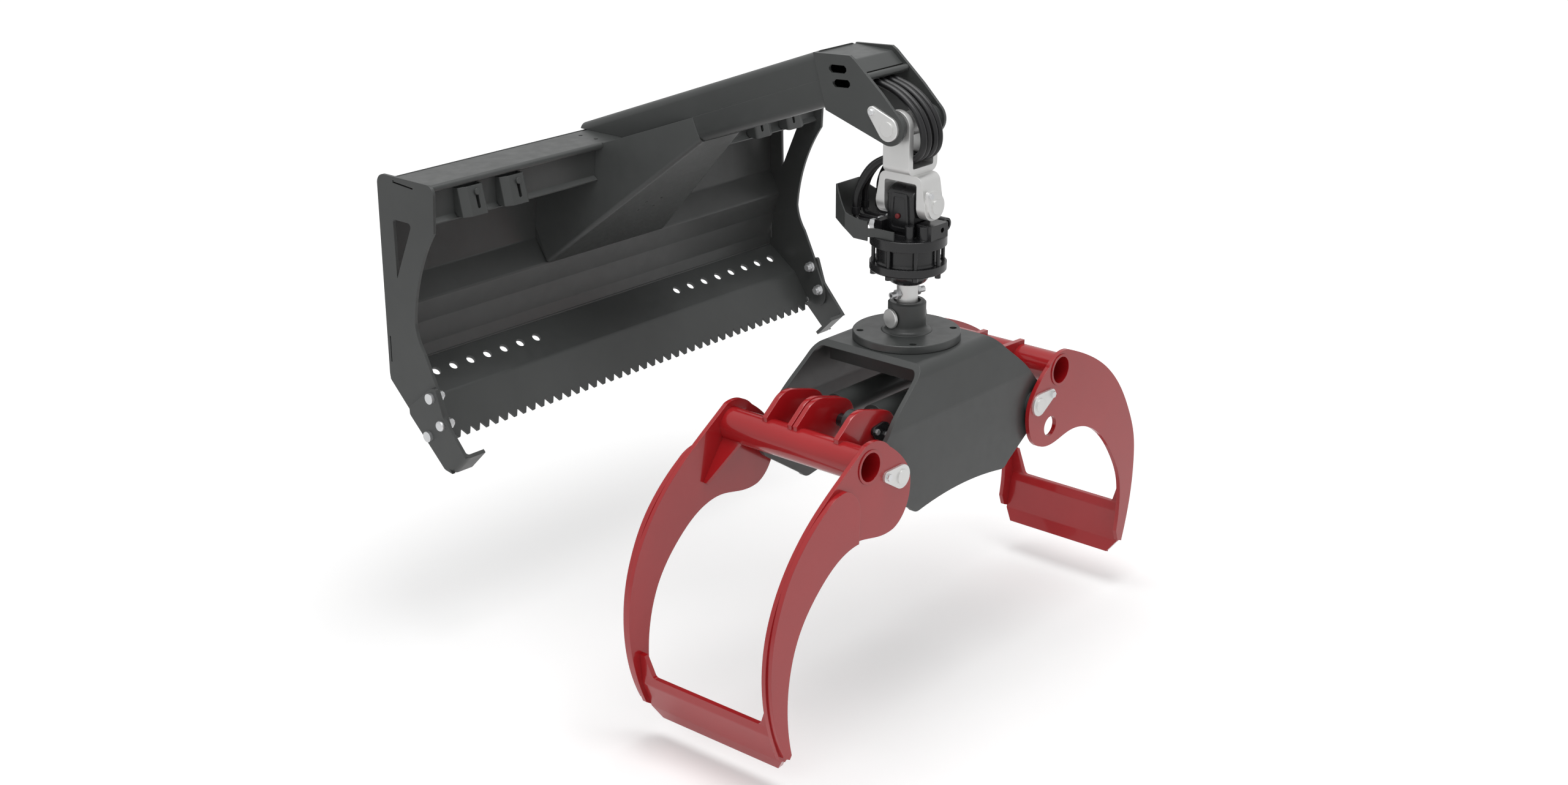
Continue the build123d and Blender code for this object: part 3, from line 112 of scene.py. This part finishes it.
class GrappleFinishSettings(bpy.types.PropertyGroup):
    """Colours and surface grain of the painted, machined and cast parts"""

    plate_colour: bpy.props.FloatVectorProperty(
        name="Plate Paint", description="Satin paint on the blade, arm and frame", subtype="COLOR", size=4,
        min=0, max=1, default=(0.046, 0.049, 0.048, 1),
    )
    jaw_colour: bpy.props.FloatVectorProperty(
        name="Jaw Paint", description="Gloss paint on the jaws", subtype="COLOR", size=4, min=0, max=1,
        default=(0.36, 0.008, 0.011, 1),
    )
    steel_colour: bpy.props.FloatVectorProperty(
        name="Bare Steel", description="Link, pins, shaft and rods", subtype="COLOR", size=4, min=0, max=1,
        default=(0.80, 0.80, 0.79, 1),
    )
    zinc_colour: bpy.props.FloatVectorProperty(
        name="Zinc Plating", description="Bolts, nuts and hose ends", subtype="COLOR", size=4, min=0, max=1,
        default=(0.78, 0.79, 0.80, 1),
    )
    cast_colour: bpy.props.FloatVectorProperty(
        name="Cast Parts", description="Rotator housing and its bolts", subtype="COLOR", size=4, min=0, max=1,
        default=(0.010, 0.010, 0.011, 1),
    )
    plug_colour: bpy.props.FloatVectorProperty(
        name="Grease Plug", description="Plastic plug on the rotator head", subtype="COLOR", size=4, min=0, max=1,
        default=(0.16, 0.012, 0.014, 1),
    )
    ferrule_start: bpy.props.FloatProperty(
        name="Ferrule Start", description="Behind this distance the hose ends are black instead of zinc plated",
        unit="LENGTH", default=-1.028, min=-1.1, max=-0.9,
    )
    # Edge radius rounds the shading normals and sets the width of the painted pale edge highlight
    edge_radius: bpy.props.FloatProperty(
        name="Edge Rounding", description="How far the paint thins round an edge", unit="LENGTH", default=0.0022,
        min=0, max=0.01,
    )


class GrappleWeldSettings(bpy.types.PropertyGroup):
    """Size and place of the weld along the mouldboard's upper seam"""

    radius: bpy.props.FloatProperty(
        name="Bead Radius", description="Half the width of the bead", unit="LENGTH", default=0.004, min=0.002,
        max=0.01,
    )
    seam_depth: bpy.props.FloatProperty(
        name="Seam Depth", description="Distance of the seam behind the tooth line", unit="LENGTH", default=0.2045,
        min=0, max=0.3,
    )
    drop: bpy.props.FloatProperty(
        name="Drop", description="How far the bead's middle lies under the wall's edge", unit="LENGTH",
        default=0.0006, min=0, max=0.01,
    )
    ripples: bpy.props.IntProperty(
        name="Ripples", description="Number of ripples along the bead", default=300, min=10, max=1000,
    )


class GrappleLugSettings(bpy.types.PropertyGroup):
    """Outline of the left jaw's cylinder lugs, measured from the jaw's pivot"""

    pin_end: bpy.props.FloatProperty(
        name="Pin End", description="Radius of the plate round the cylinder pin", unit="LENGTH", default=0.065,
        min=0.03, max=0.1,
    )
    crest_out: bpy.props.FloatProperty(
        name="Crest Out", description="Middle of the crest, outward from the pivot", unit="LENGTH", default=0.058,
        min=0, max=0.2,
    )
    crest_up: bpy.props.FloatProperty(
        name="Crest Up", description="Middle of the crest, above the pivot", unit="LENGTH", default=0.108, min=0,
        max=0.2,
    )
    crest_radius: bpy.props.FloatProperty(
        name="Crest Radius", description="Radius of the crest", unit="LENGTH", default=0.082, min=0.03, max=0.12,
    )
    edge: bpy.props.FloatProperty(
        name="Edge", description="Rounding of the plate's edges", unit="LENGTH", default=0.0012, min=0, max=0.005,
    )


class GrappleHoseSettings(bpy.types.PropertyGroup):
    """Sizes and colour of the eight hydraulic hoses"""

    radius: bpy.props.FloatProperty(
        name="Radius", description="Outer radius of a hose", unit="LENGTH", default=0.01025, min=0.004, max=0.02,
    )
    inner_offset: bpy.props.FloatProperty(
        name="Inner Pair", description="Distance of the inner hoses from the middle", unit="LENGTH", default=0.0155,
        min=0.01, max=0.1,
    )
    outer_offset: bpy.props.FloatProperty(
        name="Outer Pair", description="Distance of the outer hoses from the middle", unit="LENGTH", default=0.038,
        min=0.01, max=0.1,
    )
    colour: bpy.props.FloatVectorProperty(
        name="Rubber", description="Outer cover of the hoses", subtype="COLOR", size=4, min=0, max=1,
        default=(0.008, 0.008, 0.009, 1),
    )


class GrappleStageSettings(bpy.types.PropertyGroup):
    """Floor, lights and camera of the studio"""

    floor_height: bpy.props.FloatProperty(
        name="Floor Height", description="Where the floor lies below the blade's tooth line", unit="LENGTH",
        default=-0.72, min=-2, max=0,
    )
    room_light: bpy.props.FloatProperty(
        name="Room Light", description="Even light from all round", default=0.62, min=0, max=1,
    )
    near_glow: bpy.props.FloatProperty(
        name="Near Glow", description="How far the floor under the grapple is lifted to white", default=0.16, min=0,
        max=1,
    )
    far_glow: bpy.props.FloatProperty(
        name="Far Glow", description="How far the distant floor is lifted to white", default=0.5, min=0, max=1,
    )
    top_power: bpy.props.FloatProperty(
        name="Top Light", description="Power of the large light overhead", unit="POWER", default=110, min=0, max=500,
    )
    key_power: bpy.props.FloatProperty(
        name="Key Light", description="Power of the light beside the camera", unit="POWER", default=22, min=0,
        max=500,
    )
    lens: bpy.props.FloatProperty(
        name="Lens", description="Focal length on a 36 mm frame", unit="CAMERA", default=48.95, min=10, max=200,
    )


def add(tree, kind, *links, **values):
    """Adds a shader node, links each (input name, socket) pair to it and sets the named inputs."""
    made = tree.nodes.new(kind)
    for name, socket in links:
        tree.links.new(socket, made.inputs[name])
    for name, value in values.items():
        made.inputs[name].default_value = value
    return made


def new_material(name):
    """Returns an empty node material and its principled shader."""
    material = bpy.data.materials.new(name)
    material.use_nodes = True
    material.node_tree.nodes.clear()
    shader = material.node_tree.nodes.new("ShaderNodeBsdfPrincipled")
    output = material.node_tree.nodes.new("ShaderNodeOutputMaterial")
    material.node_tree.links.new(shader.outputs["BSDF"], output.inputs["Surface"])
    return material, shader


def scaled_noise(tree, scale, stretch=(1, 1, 1), detail=3.0):
    """Returns noise in object coordinates, with scale as its grains in a metre."""
    coordinates = tree.nodes.new("ShaderNodeTexCoord")
    mapping = add(tree, "ShaderNodeMapping", ("Vector", coordinates.outputs["Object"]))
    mapping.inputs["Scale"].default_value = stretch
    return add(tree, "ShaderNodeTexNoise", ("Vector", mapping.outputs["Vector"]), Scale=scale, Detail=detail)


def remapped(tree, socket, source, target=(0, 1)):
    """Maps a value from the source range to the target range."""
    mapped = add(tree, "ShaderNodeMapRange", ("Value", socket))
    for name, value in zip(("From Min", "From Max", "To Min", "To Max"), (*source, *target)):
        mapped.inputs[name].default_value = value
    return mapped.outputs["Result"]


def ranged(tree, socket, low, high):
    """Maps the middle of a noise, 0.3 to 0.7, to low to high."""
    return remapped(tree, socket, (0.3, 0.7), (low, high))


def edge_mask(tree, radius):
    """Returns a rounded normal and a mask that is 1 on sharp edges."""
    rounded = tree.nodes.new("ShaderNodeBevel")
    rounded.samples = 6
    rounded.inputs["Radius"].default_value = radius
    geometry = tree.nodes.new("ShaderNodeNewGeometry")
    dot = add(tree, "ShaderNodeVectorMath", (0, rounded.outputs["Normal"]), (1, geometry.outputs["Normal"]))
    dot.operation = "DOT_PRODUCT"
    return rounded.outputs["Normal"], remapped(tree, dot.outputs["Value"], (0.98, 0.80))


def mixed(tree, factor, first, second):
    """Mixes two colours by a factor socket. Either colour may be a socket."""
    mix = tree.nodes.new("ShaderNodeMix")
    mix.data_type = "RGBA"
    tree.links.new(factor, mix.inputs["Factor"])
    for name, colour in (("A", first), ("B", second)):
        slot = [s for s in mix.inputs if s.name == name and s.type == "RGBA"][0]
        if isinstance(colour, bpy.types.NodeSocket):
            tree.links.new(colour, slot)
        else:
            slot.default_value = colour
    return [s for s in mix.outputs if s.type == "RGBA"][0]


def toned(colour, factor):
    """Returns the colour made lighter or darker."""
    return tuple(min(channel * factor, 1) for channel in colour[:3]) + (1,)


def surface(name, colour, spread, edge_highlight_tone, roughness, rough_spread, grain, depth, radius, stretch=(1, 1, 1)):
    """Builds a finish with patchy tone, pale edges painted as a highlight, uneven roughness and a fine grain."""
    material, shader = new_material(name)
    tree = material.node_tree
    patches = scaled_noise(tree, scale=6.0, detail=4.0)
    speckle = scaled_noise(tree, grain, stretch)
    normal, edges = edge_mask(tree, radius)
    share = ranged(tree, patches.outputs["Fac"], 0, 1)
    body = mixed(tree, share, toned(colour, 1 - spread), toned(colour, 1 + spread))
    # Lighter colour on the rounded edges, broken up by the grain: a painted edge highlight
    painted_edge_highlight = add(tree, "ShaderNodeMath", (0, edges), (1, ranged(tree, speckle.outputs["Fac"], 0.55, 1.0)))
    painted_edge_highlight.operation = "MULTIPLY"
    tree.links.new(mixed(tree, painted_edge_highlight.outputs["Value"], body, toned(colour, edge_highlight_tone)), shader.inputs["Base Color"])
    low, high = roughness - rough_spread, roughness + rough_spread
    blotches = scaled_noise(tree, scale=28.0, detail=5.0)
    tree.links.new(ranged(tree, blotches.outputs["Fac"], low, high), shader.inputs["Roughness"])
    bump = add(tree, "ShaderNodeBump", ("Height", speckle.outputs["Fac"]), ("Normal", normal))
    bump.inputs["Strength"].default_value = 0.6
    bump.inputs["Distance"].default_value = depth
    tree.links.new(bump.outputs["Normal"], shader.inputs["Normal"])
    return material, shader


def dress(nodes, names, material):
    """Gives every slot of the named CAD nodes the material."""
    for name in names:
        for slot in nodes[name].material_slots:
            slot.material = material


def select_only(piece):
    """Makes one object the only selected and active one."""
    bpy.ops.object.select_all(action="DESELECT")
    piece.select_set(True)
    bpy.context.view_layer.objects.active = piece


class GRAPPLE_OT_paint_plates(bpy.types.Operator):
    """Paints the blade, arm, head and frame in satin dark grey"""

    bl_idname = "grapple.paint_plates"
    bl_label = "Paint Plates"

    def execute(self, context):
        finish = context.scene.grapple_finish
        material, shader = surface(
            "satin_plate_paint", finish.plate_colour, spread=0.07, edge_highlight_tone=1.5, roughness=0.36, rough_spread=0.05,
            grain=520.0, depth=0.00003, radius=finish.edge_radius,
        )
        shader.inputs["Coat Weight"].default_value = 0.15
        shader.inputs["Coat Roughness"].default_value = 0.30
        dress(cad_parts, PAINTED_PLATES, material)
        return {"FINISHED"}


class GRAPPLE_OT_paint_jaws(bpy.types.Operator):
    """Paints the jaws in gloss red"""

    bl_idname = "grapple.paint_jaws"
    bl_label = "Paint Jaws"

    def execute(self, context):
        finish = context.scene.grapple_finish
        material, shader = surface(
            "gloss_red_paint", finish.jaw_colour, spread=0.05, edge_highlight_tone=1.2, roughness=0.24, rough_spread=0.03,
            grain=90.0, depth=0.00001, radius=finish.edge_radius,
        )
        shader.inputs["Coat Weight"].default_value = 0.55
        shader.inputs["Coat Roughness"].default_value = 0.03
        dress(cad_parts, RED_PARTS, material)
        return {"FINISHED"}


class GRAPPLE_OT_finish_steel(bpy.types.Operator):
    """Brushes the link and polishes the pins, shaft and rods"""

    bl_idname = "grapple.finish_steel"
    bl_label = "Finish Bare Steel"

    def execute(self, context):
        finish = context.scene.grapple_finish
        brushed, shader = surface(
            "brushed_steel", finish.steel_colour, spread=0.04, edge_highlight_tone=1.1, roughness=0.42, rough_spread=0.06,
            grain=60.0, depth=0.00003, radius=finish.edge_radius, stretch=(14, 14, 1),
        )
        shader.inputs["Metallic"].default_value = 0.75
        turned, shader = surface(
            "turned_steel", finish.steel_colour, spread=0.04, edge_highlight_tone=1.1, roughness=0.36, rough_spread=0.05,
            grain=90.0, depth=0.00001, radius=finish.edge_radius / 2, stretch=(1, 10, 1),
        )
        shader.inputs["Metallic"].default_value = 0.75
        dress(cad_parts, BRUSHED_PARTS, brushed)
        dress(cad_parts, TURNED_PARTS, turned)
        return {"FINISHED"}


def zinc_plating(name, finish):
    """Returns the plated finish of the bolts and hose ends, and its shader."""
    return surface(
        name, finish.zinc_colour, spread=0.08, edge_highlight_tone=1.2, roughness=0.32, rough_spread=0.07, grain=260.0,
        depth=0.00001, radius=finish.edge_radius / 3,
    )


class GRAPPLE_OT_plate_fasteners(bpy.types.Operator):
    """Zinc plates the bolts, nuts and hose ends"""

    bl_idname = "grapple.plate_fasteners"
    bl_label = "Plate Fasteners"

    def execute(self, context):
        finish = context.scene.grapple_finish
        material, shader = zinc_plating("zinc_plating", finish)
        shader.inputs["Metallic"].default_value = PLATING_METALLIC
        dress(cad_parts, PLATED_PARTS, material)
        ends, shader = zinc_plating("hose_end_plating", finish)
        tree = ends.node_tree
        coordinates = tree.nodes.new("ShaderNodeTexCoord")
        split = add(tree, "ShaderNodeSeparateXYZ", ("Vector", coordinates.outputs["Object"]))
        # Zinc turns to black within a millimetre behind the ferrules' start
        ferrule = remapped(tree, split.outputs["Y"], (finish.ferrule_start, finish.ferrule_start + 0.001))
        plated = shader.inputs["Base Color"].links[0].from_socket
        black = toned(finish.cast_colour, FERRULE_TONE)
        tree.links.new(mixed(tree, ferrule, plated, black), shader.inputs["Base Color"])
        bright = remapped(tree, ferrule, (0, 1), (PLATING_METALLIC, 0))
        tree.links.new(bright, shader.inputs["Metallic"])
        dress(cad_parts, ("hose_fittings",), ends)
        return {"FINISHED"}


class GRAPPLE_OT_finish_rotator(bpy.types.Operator):
    """Gives the rotator its cast black skin and the grease plug its plastic"""

    bl_idname = "grapple.finish_rotator"
    bl_label = "Finish Rotator"

    def execute(self, context):
        finish = context.scene.grapple_finish
        cast, shader = surface(
            "cast_black_paint", finish.cast_colour, spread=0.12, edge_highlight_tone=1.8, roughness=0.26, rough_spread=0.05,
            grain=260.0, depth=0.00003, radius=finish.edge_radius,
        )
        shader.inputs["Coat Weight"].default_value = 0.3
        shader.inputs["Coat Roughness"].default_value = 0.15
        plug, _ = surface(
            "grease_plug_plastic", finish.plug_colour, spread=0.08, edge_highlight_tone=1.3, roughness=0.42, rough_spread=0.05,
            grain=600.0, depth=0.00005, radius=finish.edge_radius / 3,
        )
        dress(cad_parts, CAST_PARTS, cast)
        dress(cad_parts, ("grease_plug",), plug)
        return {"FINISHED"}


def rubber_material(colour):
    """Returns the hose cover: matt rubber with the fine bands that its cloth wrap left."""
    material = bpy.data.materials.get("hose_rubber_cover")
    if material:
        return material
    material, shader = new_material("hose_rubber_cover")
    tree = material.node_tree
    coordinates = tree.nodes.new("ShaderNodeTexCoord")
    bands = add(tree, "ShaderNodeTexWave", ("Vector", coordinates.outputs["Object"]), Scale=95.0, Distortion=1.5)
    bands.bands_direction = "DIAGONAL"
    grain = scaled_noise(tree, scale=700.0)
    patches = scaled_noise(tree, scale=14.0, detail=4.0)
    body = mixed(tree, ranged(tree, patches.outputs["Fac"], 0, 1), toned(colour, 0.75), toned(colour, 1.3))
    tree.links.new(body, shader.inputs["Base Color"])
    tree.links.new(ranged(tree, patches.outputs["Fac"], 0.30, 0.42), shader.inputs["Roughness"])
    height = add(tree, "ShaderNodeMath", (0, bands.outputs["Fac"]), (1, grain.outputs["Fac"]))
    bump = add(tree, "ShaderNodeBump", ("Height", height.outputs["Value"]))
    bump.inputs["Strength"].default_value = 0.5
    bump.inputs["Distance"].default_value = 0.00004
    tree.links.new(bump.outputs["Normal"], shader.inputs["Normal"])
    return material


def hose_tube(name, route, radius, material):
    """Sweeps a round tube along a smooth route and returns it as a mesh."""
    curve = bpy.data.curves.new(name, "CURVE")
    curve.dimensions = "3D"
    curve.resolution_u = 8
    spline = curve.splines.new("NURBS")
    spline.points.add(len(route) - 1)
    for point, place in zip(spline.points, route):
        point.co = (*place, 1)
    spline.order_u = 3
    spline.use_endpoint_u = True
    curve.bevel_depth = radius
    curve.bevel_resolution = 6
    tube = bpy.data.objects.new(name, curve)
    bpy.context.scene.collection.objects.link(tube)
    select_only(tube)
    bpy.ops.object.convert(target="MESH")
    tube = bpy.context.view_layer.objects.active
    bpy.ops.object.mode_set(mode="EDIT")
    bpy.ops.mesh.select_all(action="SELECT")
    bpy.ops.mesh.remove_doubles(threshold=0.00001)
    bpy.ops.mesh.normals_make_consistent(inside=False)
    bpy.ops.object.mode_set(mode="OBJECT")
    bpy.ops.object.shade_smooth()
    tube.data.materials.clear()
    tube.data.materials.append(material)
    return tube


def lug_round(place, radius):
    """Adds one upright circle of a lug's outline."""
    bpy.ops.mesh.primitive_circle_add(vertices=96, radius=radius, location=place, rotation=(QUARTER_TURN, 0, 0))


def lug_plate(name, span, lugs):
    """Builds one cam-shaped lug: a hull round its pin, its crest and its foot on the tube, on both faces."""
    rounds = [(*LUG_PIN, lugs.pin_end), (lugs.crest_out, lugs.crest_up, lugs.crest_radius)]
    rounds += [(out, up, LUG_CORNER_RADIUS) for out, up in LUG_CORNERS]
    first, *others = [
        ((LEFT_PIVOT.x - out, depth, LEFT_PIVOT.z + up), radius) for depth in span for out, up, radius in rounds
    ]
    bpy.ops.object.select_all(action="DESELECT")
    lug_round(*first)
    piece = bpy.context.active_object
    piece.name = name
    bpy.ops.object.transform_apply(location=True, rotation=True, scale=True)
    bpy.ops.object.mode_set(mode="EDIT")
    for place, radius in others:
        lug_round(place, radius)
    bpy.ops.mesh.select_all(action="SELECT")
    bpy.ops.mesh.convex_hull()
    bpy.ops.mesh.select_all(action="SELECT")
    bpy.ops.mesh.dissolve_limited(angle_limit=0.01)
    bpy.ops.mesh.normals_make_consistent(inside=False)
    bpy.ops.object.mode_set(mode="OBJECT")
    bevel = piece.modifiers.new("edge", "BEVEL")
    bevel.width = lugs.edge
    bevel.segments = 2
    bevel.limit_method = "ANGLE"
    bevel.angle_limit = 1.0
    bpy.ops.object.modifier_apply(modifier="edge")
    bpy.ops.object.shade_smooth_by_angle(angle=0.5)
    piece.data.materials.append(bpy.data.materials["gloss_red_paint"])
    return piece


class GRAPPLE_OT_left_lugs(bpy.types.Operator):
    """Builds the four cam-shaped cylinder lugs on the left jaw's tube"""

    bl_idname = "grapple.left_lugs"
    bl_label = "Left Lugs"

    def execute(self, context):
        lugs = context.scene.grapple_lugs
        for number, span in enumerate(LUG_SPANS, start=1):
            piece = lug_plate(f"left_lug_{number}", span, lugs)
            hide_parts("jaw_left_lugs")
            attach(piece, "left_jaw")
        return {"FINISHED"}


class GRAPPLE_OT_seam_weld(bpy.types.Operator):
    """Lays the weld bead that closes the seam between the back wall and the mouldboard"""

    bl_idname = "grapple.seam_weld"
    bl_label = "Seam Weld"

    def execute(self, context):
        weld = context.scene.grapple_weld
        wall_low, wall_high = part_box("back_wall")
        length = wall_high.x - wall_low.x
        bpy.ops.object.select_all(action="DESELECT")
        bpy.ops.mesh.primitive_cylinder_add(
            vertices=14, radius=weld.radius, depth=length, location=(0, weld.seam_depth, wall_low.z - weld.drop),
            rotation=(0, QUARTER_TURN, 0),
        )
        bead = context.active_object
        bead.name = "mouldboard_seam_weld"
        bpy.ops.object.transform_apply(location=True, rotation=True, scale=True)
        bpy.ops.object.mode_set(mode="EDIT")
        for cut in range(1, weld.ripples):
            place = wall_low.x + length * cut / weld.ripples
            bpy.ops.mesh.select_all(action="SELECT")
            bpy.ops.mesh.bisect(plane_co=(place, 0, 0), plane_no=(1, 0, 0))
        bpy.ops.object.mode_set(mode="OBJECT")
        ripple = bpy.data.textures.new("weld_ripple", "CLOUDS")
        ripple.noise_scale = weld.radius
        displace = bead.modifiers.new("ripple", "DISPLACE")
        displace.texture = ripple
        displace.texture_coords = "LOCAL"
        displace.strength = weld.radius * 0.5
        bpy.ops.object.modifier_apply(modifier="ripple")
        bpy.ops.object.shade_smooth()
        bead.data.materials.append(bpy.data.materials["satin_plate_paint"])
        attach(bead, "blade_and_boom")
        return {"FINISHED"}


class GRAPPLE_OT_upper_hoses(bpy.types.Operator):
    """Models the four hoses that loop from the arm over the swing link"""

    bl_idname = "grapple.upper_hoses"
    bl_label = "Upper Hoses"

    def execute(self, context):
        hoses = context.scene.grapple_hoses
        material = rubber_material(hoses.colour)
        offsets = (-hoses.outer_offset, -hoses.inner_offset, hoses.inner_offset, hoses.outer_offset)
        for number, offset in enumerate(offsets, start=1):
            route = [(offset, y, z) for y, z in UPPER_ROUTE]
            tube = hose_tube(f"upper_hose_{number}", route, hoses.radius, material)
            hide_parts("upper_hoses")
            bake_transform(tube)
        return {"FINISHED"}


class GRAPPLE_OT_lower_hoses(bpy.types.Operator):
    """Models the four hoses that drop from the swing link to the rotator head"""

    bl_idname = "grapple.lower_hoses"
    bl_label = "Lower Hoses"

    def execute(self, context):
        hoses = context.scene.grapple_hoses
        material = rubber_material(hoses.colour)
        far, near = hoses.outer_offset, hoses.inner_offset
        outer = (
            (far, -1.125, 0.928), (far, -1.096, 0.928), (far, -1.058, 0.916), (far, -1.022, 0.893),
            (0.041, -0.994, 0.858), (0.049, -0.975, 0.820), (0.057, -0.968, 0.787), (0.057, -0.968, 0.762),
        )
        inner = (
            (near, -1.125, 0.928), (near, -1.086, 0.928), (near, -1.040, 0.914), (near, -0.996, 0.888),
            (near, -0.964, 0.848), (0.017, -0.948, 0.812), (0.019, -0.943, 0.785), (0.019, -0.943, 0.762),
        )
        number = 0
        for side in (-1, 1):
            for half in (outer, inner):
                number += 1
                route = [(side * x, y, z) for x, y, z in half]
                tube = hose_tube(f"lower_hose_{number}", route, hoses.radius, material)
                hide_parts("lower_hoses")
                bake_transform(tube)
        return {"FINISHED"}


def area_light(name, place, power):
    """Adds a square light at place, turned to the grapple."""
    light = bpy.data.lights.new(name, "AREA")
    light.shape = "SQUARE"
    light.size = LIGHT_SIZE
    light.energy = power
    lamp = bpy.data.objects.new(name, light)
    bpy.context.scene.collection.objects.link(lamp)
    lamp.location = place
    lamp.rotation_euler = (Vector(LIGHT_TARGET) - Vector(place)).to_track_quat("-Z", "Y").to_euler()


class GRAPPLE_OT_studio(bpy.types.Operator):
    """Builds the pale floor, the soft lights and the camera"""

    bl_idname = "grapple.studio"
    bl_label = "Studio"

    def execute(self, context):
        stage = context.scene.grapple_stage
        bpy.ops.object.select_all(action="DESELECT")
        bpy.ops.mesh.primitive_plane_add(size=FLOOR_SIZE, location=(0, 0, stage.floor_height))
        floor = context.active_object
        floor.name = "studio_floor"
        material, shader = new_material("studio_floor_paint")
        shader.inputs["Base Color"].default_value = (0.93, 0.93, 0.93, 1)
        shader.inputs["Roughness"].default_value = 0.9
        shader.inputs["Specular IOR Level"].default_value = 0.0
        tree = material.node_tree
        coordinates = tree.nodes.new("ShaderNodeTexCoord")
        away = add(tree, "ShaderNodeVectorMath", (0, coordinates.outputs["Object"]))
        away.operation = "DISTANCE"
        away.inputs[1].default_value = GLOW_MIDDLE
        fade = remapped(tree, away.outputs["Value"], GLOW_REACH, (stage.near_glow, stage.far_glow))
        path = tree.nodes.new("ShaderNodeLightPath")
        seen = add(tree, "ShaderNodeMath", (0, fade), (1, path.outputs["Is Camera Ray"]))
        seen.operation = "MULTIPLY"
        tree.links.new(seen.outputs["Value"], shader.inputs["Emission Strength"])
        shader.inputs["Emission Color"].default_value = (1, 1, 1, 1)
        floor.data.materials.append(material)

        world = bpy.data.worlds.new("studio_room")
        context.scene.world = world
        world.use_nodes = True
        tree = world.node_tree
        tree.nodes.clear()
        path = tree.nodes.new("ShaderNodeLightPath")
        light = add(tree, "ShaderNodeBackground", Color=(1, 1, 1, 1), Strength=stage.room_light)
        seen = add(tree, "ShaderNodeBackground", Color=(1, 1, 1, 1), Strength=1.0)
        mix = tree.nodes.new("ShaderNodeMixShader")
        tree.links.new(path.outputs["Is Camera Ray"], mix.inputs["Fac"])
        tree.links.new(light.outputs["Background"], mix.inputs[1])
        tree.links.new(seen.outputs["Background"], mix.inputs[2])
        output = tree.nodes.new("ShaderNodeOutputWorld")
        tree.links.new(mix.outputs["Shader"], output.inputs["Surface"])

        area_light("top_light", TOP_LIGHT_PLACE, stage.top_power)
        area_light("key_light", KEY_LIGHT_PLACE, stage.key_power)

        camera_data = bpy.data.cameras.new("studio_camera")
        camera_data.sensor_width = 36
        camera_data.lens = stage.lens
        camera = bpy.data.objects.new("studio_camera", camera_data)
        context.scene.collection.objects.link(camera)
        right = Vector(CAMERA_RIGHT).normalized()
        back = Vector(CAMERA_BACK).normalized()
        up = back.cross(right).normalized()
        back = right.cross(up)
        turn = Matrix((right, up, back)).transposed().to_4x4()
        camera.matrix_world = Matrix.Translation(CAMERA_PLACE) @ turn
        context.scene.camera = camera
        context.scene.view_settings.view_transform = "Standard"
        return {"FINISHED"}


STEPS = (
    GRAPPLE_OT_paint_plates, GRAPPLE_OT_paint_jaws, GRAPPLE_OT_finish_steel, GRAPPLE_OT_plate_fasteners,
    GRAPPLE_OT_finish_rotator, GRAPPLE_OT_left_lugs, GRAPPLE_OT_seam_weld, GRAPPLE_OT_upper_hoses,
    GRAPPLE_OT_lower_hoses, GRAPPLE_OT_studio,
)


class GRAPPLE_PT_panel(bpy.types.Panel):
    """Settings and steps of the grapple"""

    bl_idname = "GRAPPLE_PT_panel"
    bl_label = "Forestry Grapple"
    bl_space_type = "VIEW_3D"
    bl_region_type = "UI"
    bl_category = "Grapple"

    def draw(self, context):
        layout = self.layout
        scene = context.scene
        for group in (
            scene.grapple_finish, scene.grapple_weld, scene.grapple_lugs, scene.grapple_hoses, scene.grapple_stage,
        ):
            box = layout.box()
            for name in group.bl_rna.properties.keys():
                if name not in ("rna_type", "name"):
                    box.prop(group, name)
        for step in STEPS:
            layout.operator(step.bl_idname)


SETTINGS = (
    GrappleFinishSettings, GrappleWeldSettings, GrappleLugSettings, GrappleHoseSettings, GrappleStageSettings,
)
CLASSES = SETTINGS + STEPS + (GRAPPLE_PT_panel,)


def register():
    """Registers the classes and hangs the settings on the scene."""
    for made in CLASSES:
        bpy.utils.register_class(made)
    bpy.types.Scene.grapple_finish = bpy.props.PointerProperty(type=GrappleFinishSettings)
    bpy.types.Scene.grapple_weld = bpy.props.PointerProperty(type=GrappleWeldSettings)
    bpy.types.Scene.grapple_lugs = bpy.props.PointerProperty(type=GrappleLugSettings)
    bpy.types.Scene.grapple_hoses = bpy.props.PointerProperty(type=GrappleHoseSettings)
    bpy.types.Scene.grapple_stage = bpy.props.PointerProperty(type=GrappleStageSettings)


def unregister():
    """Takes the settings and classes away again."""
    del bpy.types.Scene.grapple_stage
    del bpy.types.Scene.grapple_hoses
    del bpy.types.Scene.grapple_lugs
    del bpy.types.Scene.grapple_weld
    del bpy.types.Scene.grapple_finish
    for made in reversed(CLASSES):
        bpy.utils.unregister_class(made)


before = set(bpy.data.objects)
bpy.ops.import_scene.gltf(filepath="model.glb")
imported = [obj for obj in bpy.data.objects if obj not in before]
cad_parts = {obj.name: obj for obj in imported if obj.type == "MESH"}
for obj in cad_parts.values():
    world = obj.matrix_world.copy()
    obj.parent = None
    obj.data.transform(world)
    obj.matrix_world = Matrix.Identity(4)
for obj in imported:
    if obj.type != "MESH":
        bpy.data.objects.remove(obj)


def main():
    """Runs every step in order."""
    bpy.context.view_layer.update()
    register()
    bpy.ops.grapple.paint_plates()
    bpy.ops.grapple.paint_jaws()
    bpy.ops.grapple.finish_steel()
    bpy.ops.grapple.plate_fasteners()
    bpy.ops.grapple.finish_rotator()
    bpy.ops.grapple.left_lugs()
    bpy.ops.grapple.seam_weld()
    bpy.ops.grapple.upper_hoses()
    bpy.ops.grapple.lower_hoses()
    bpy.ops.grapple.studio()


if __name__ == "__main__":
    main()
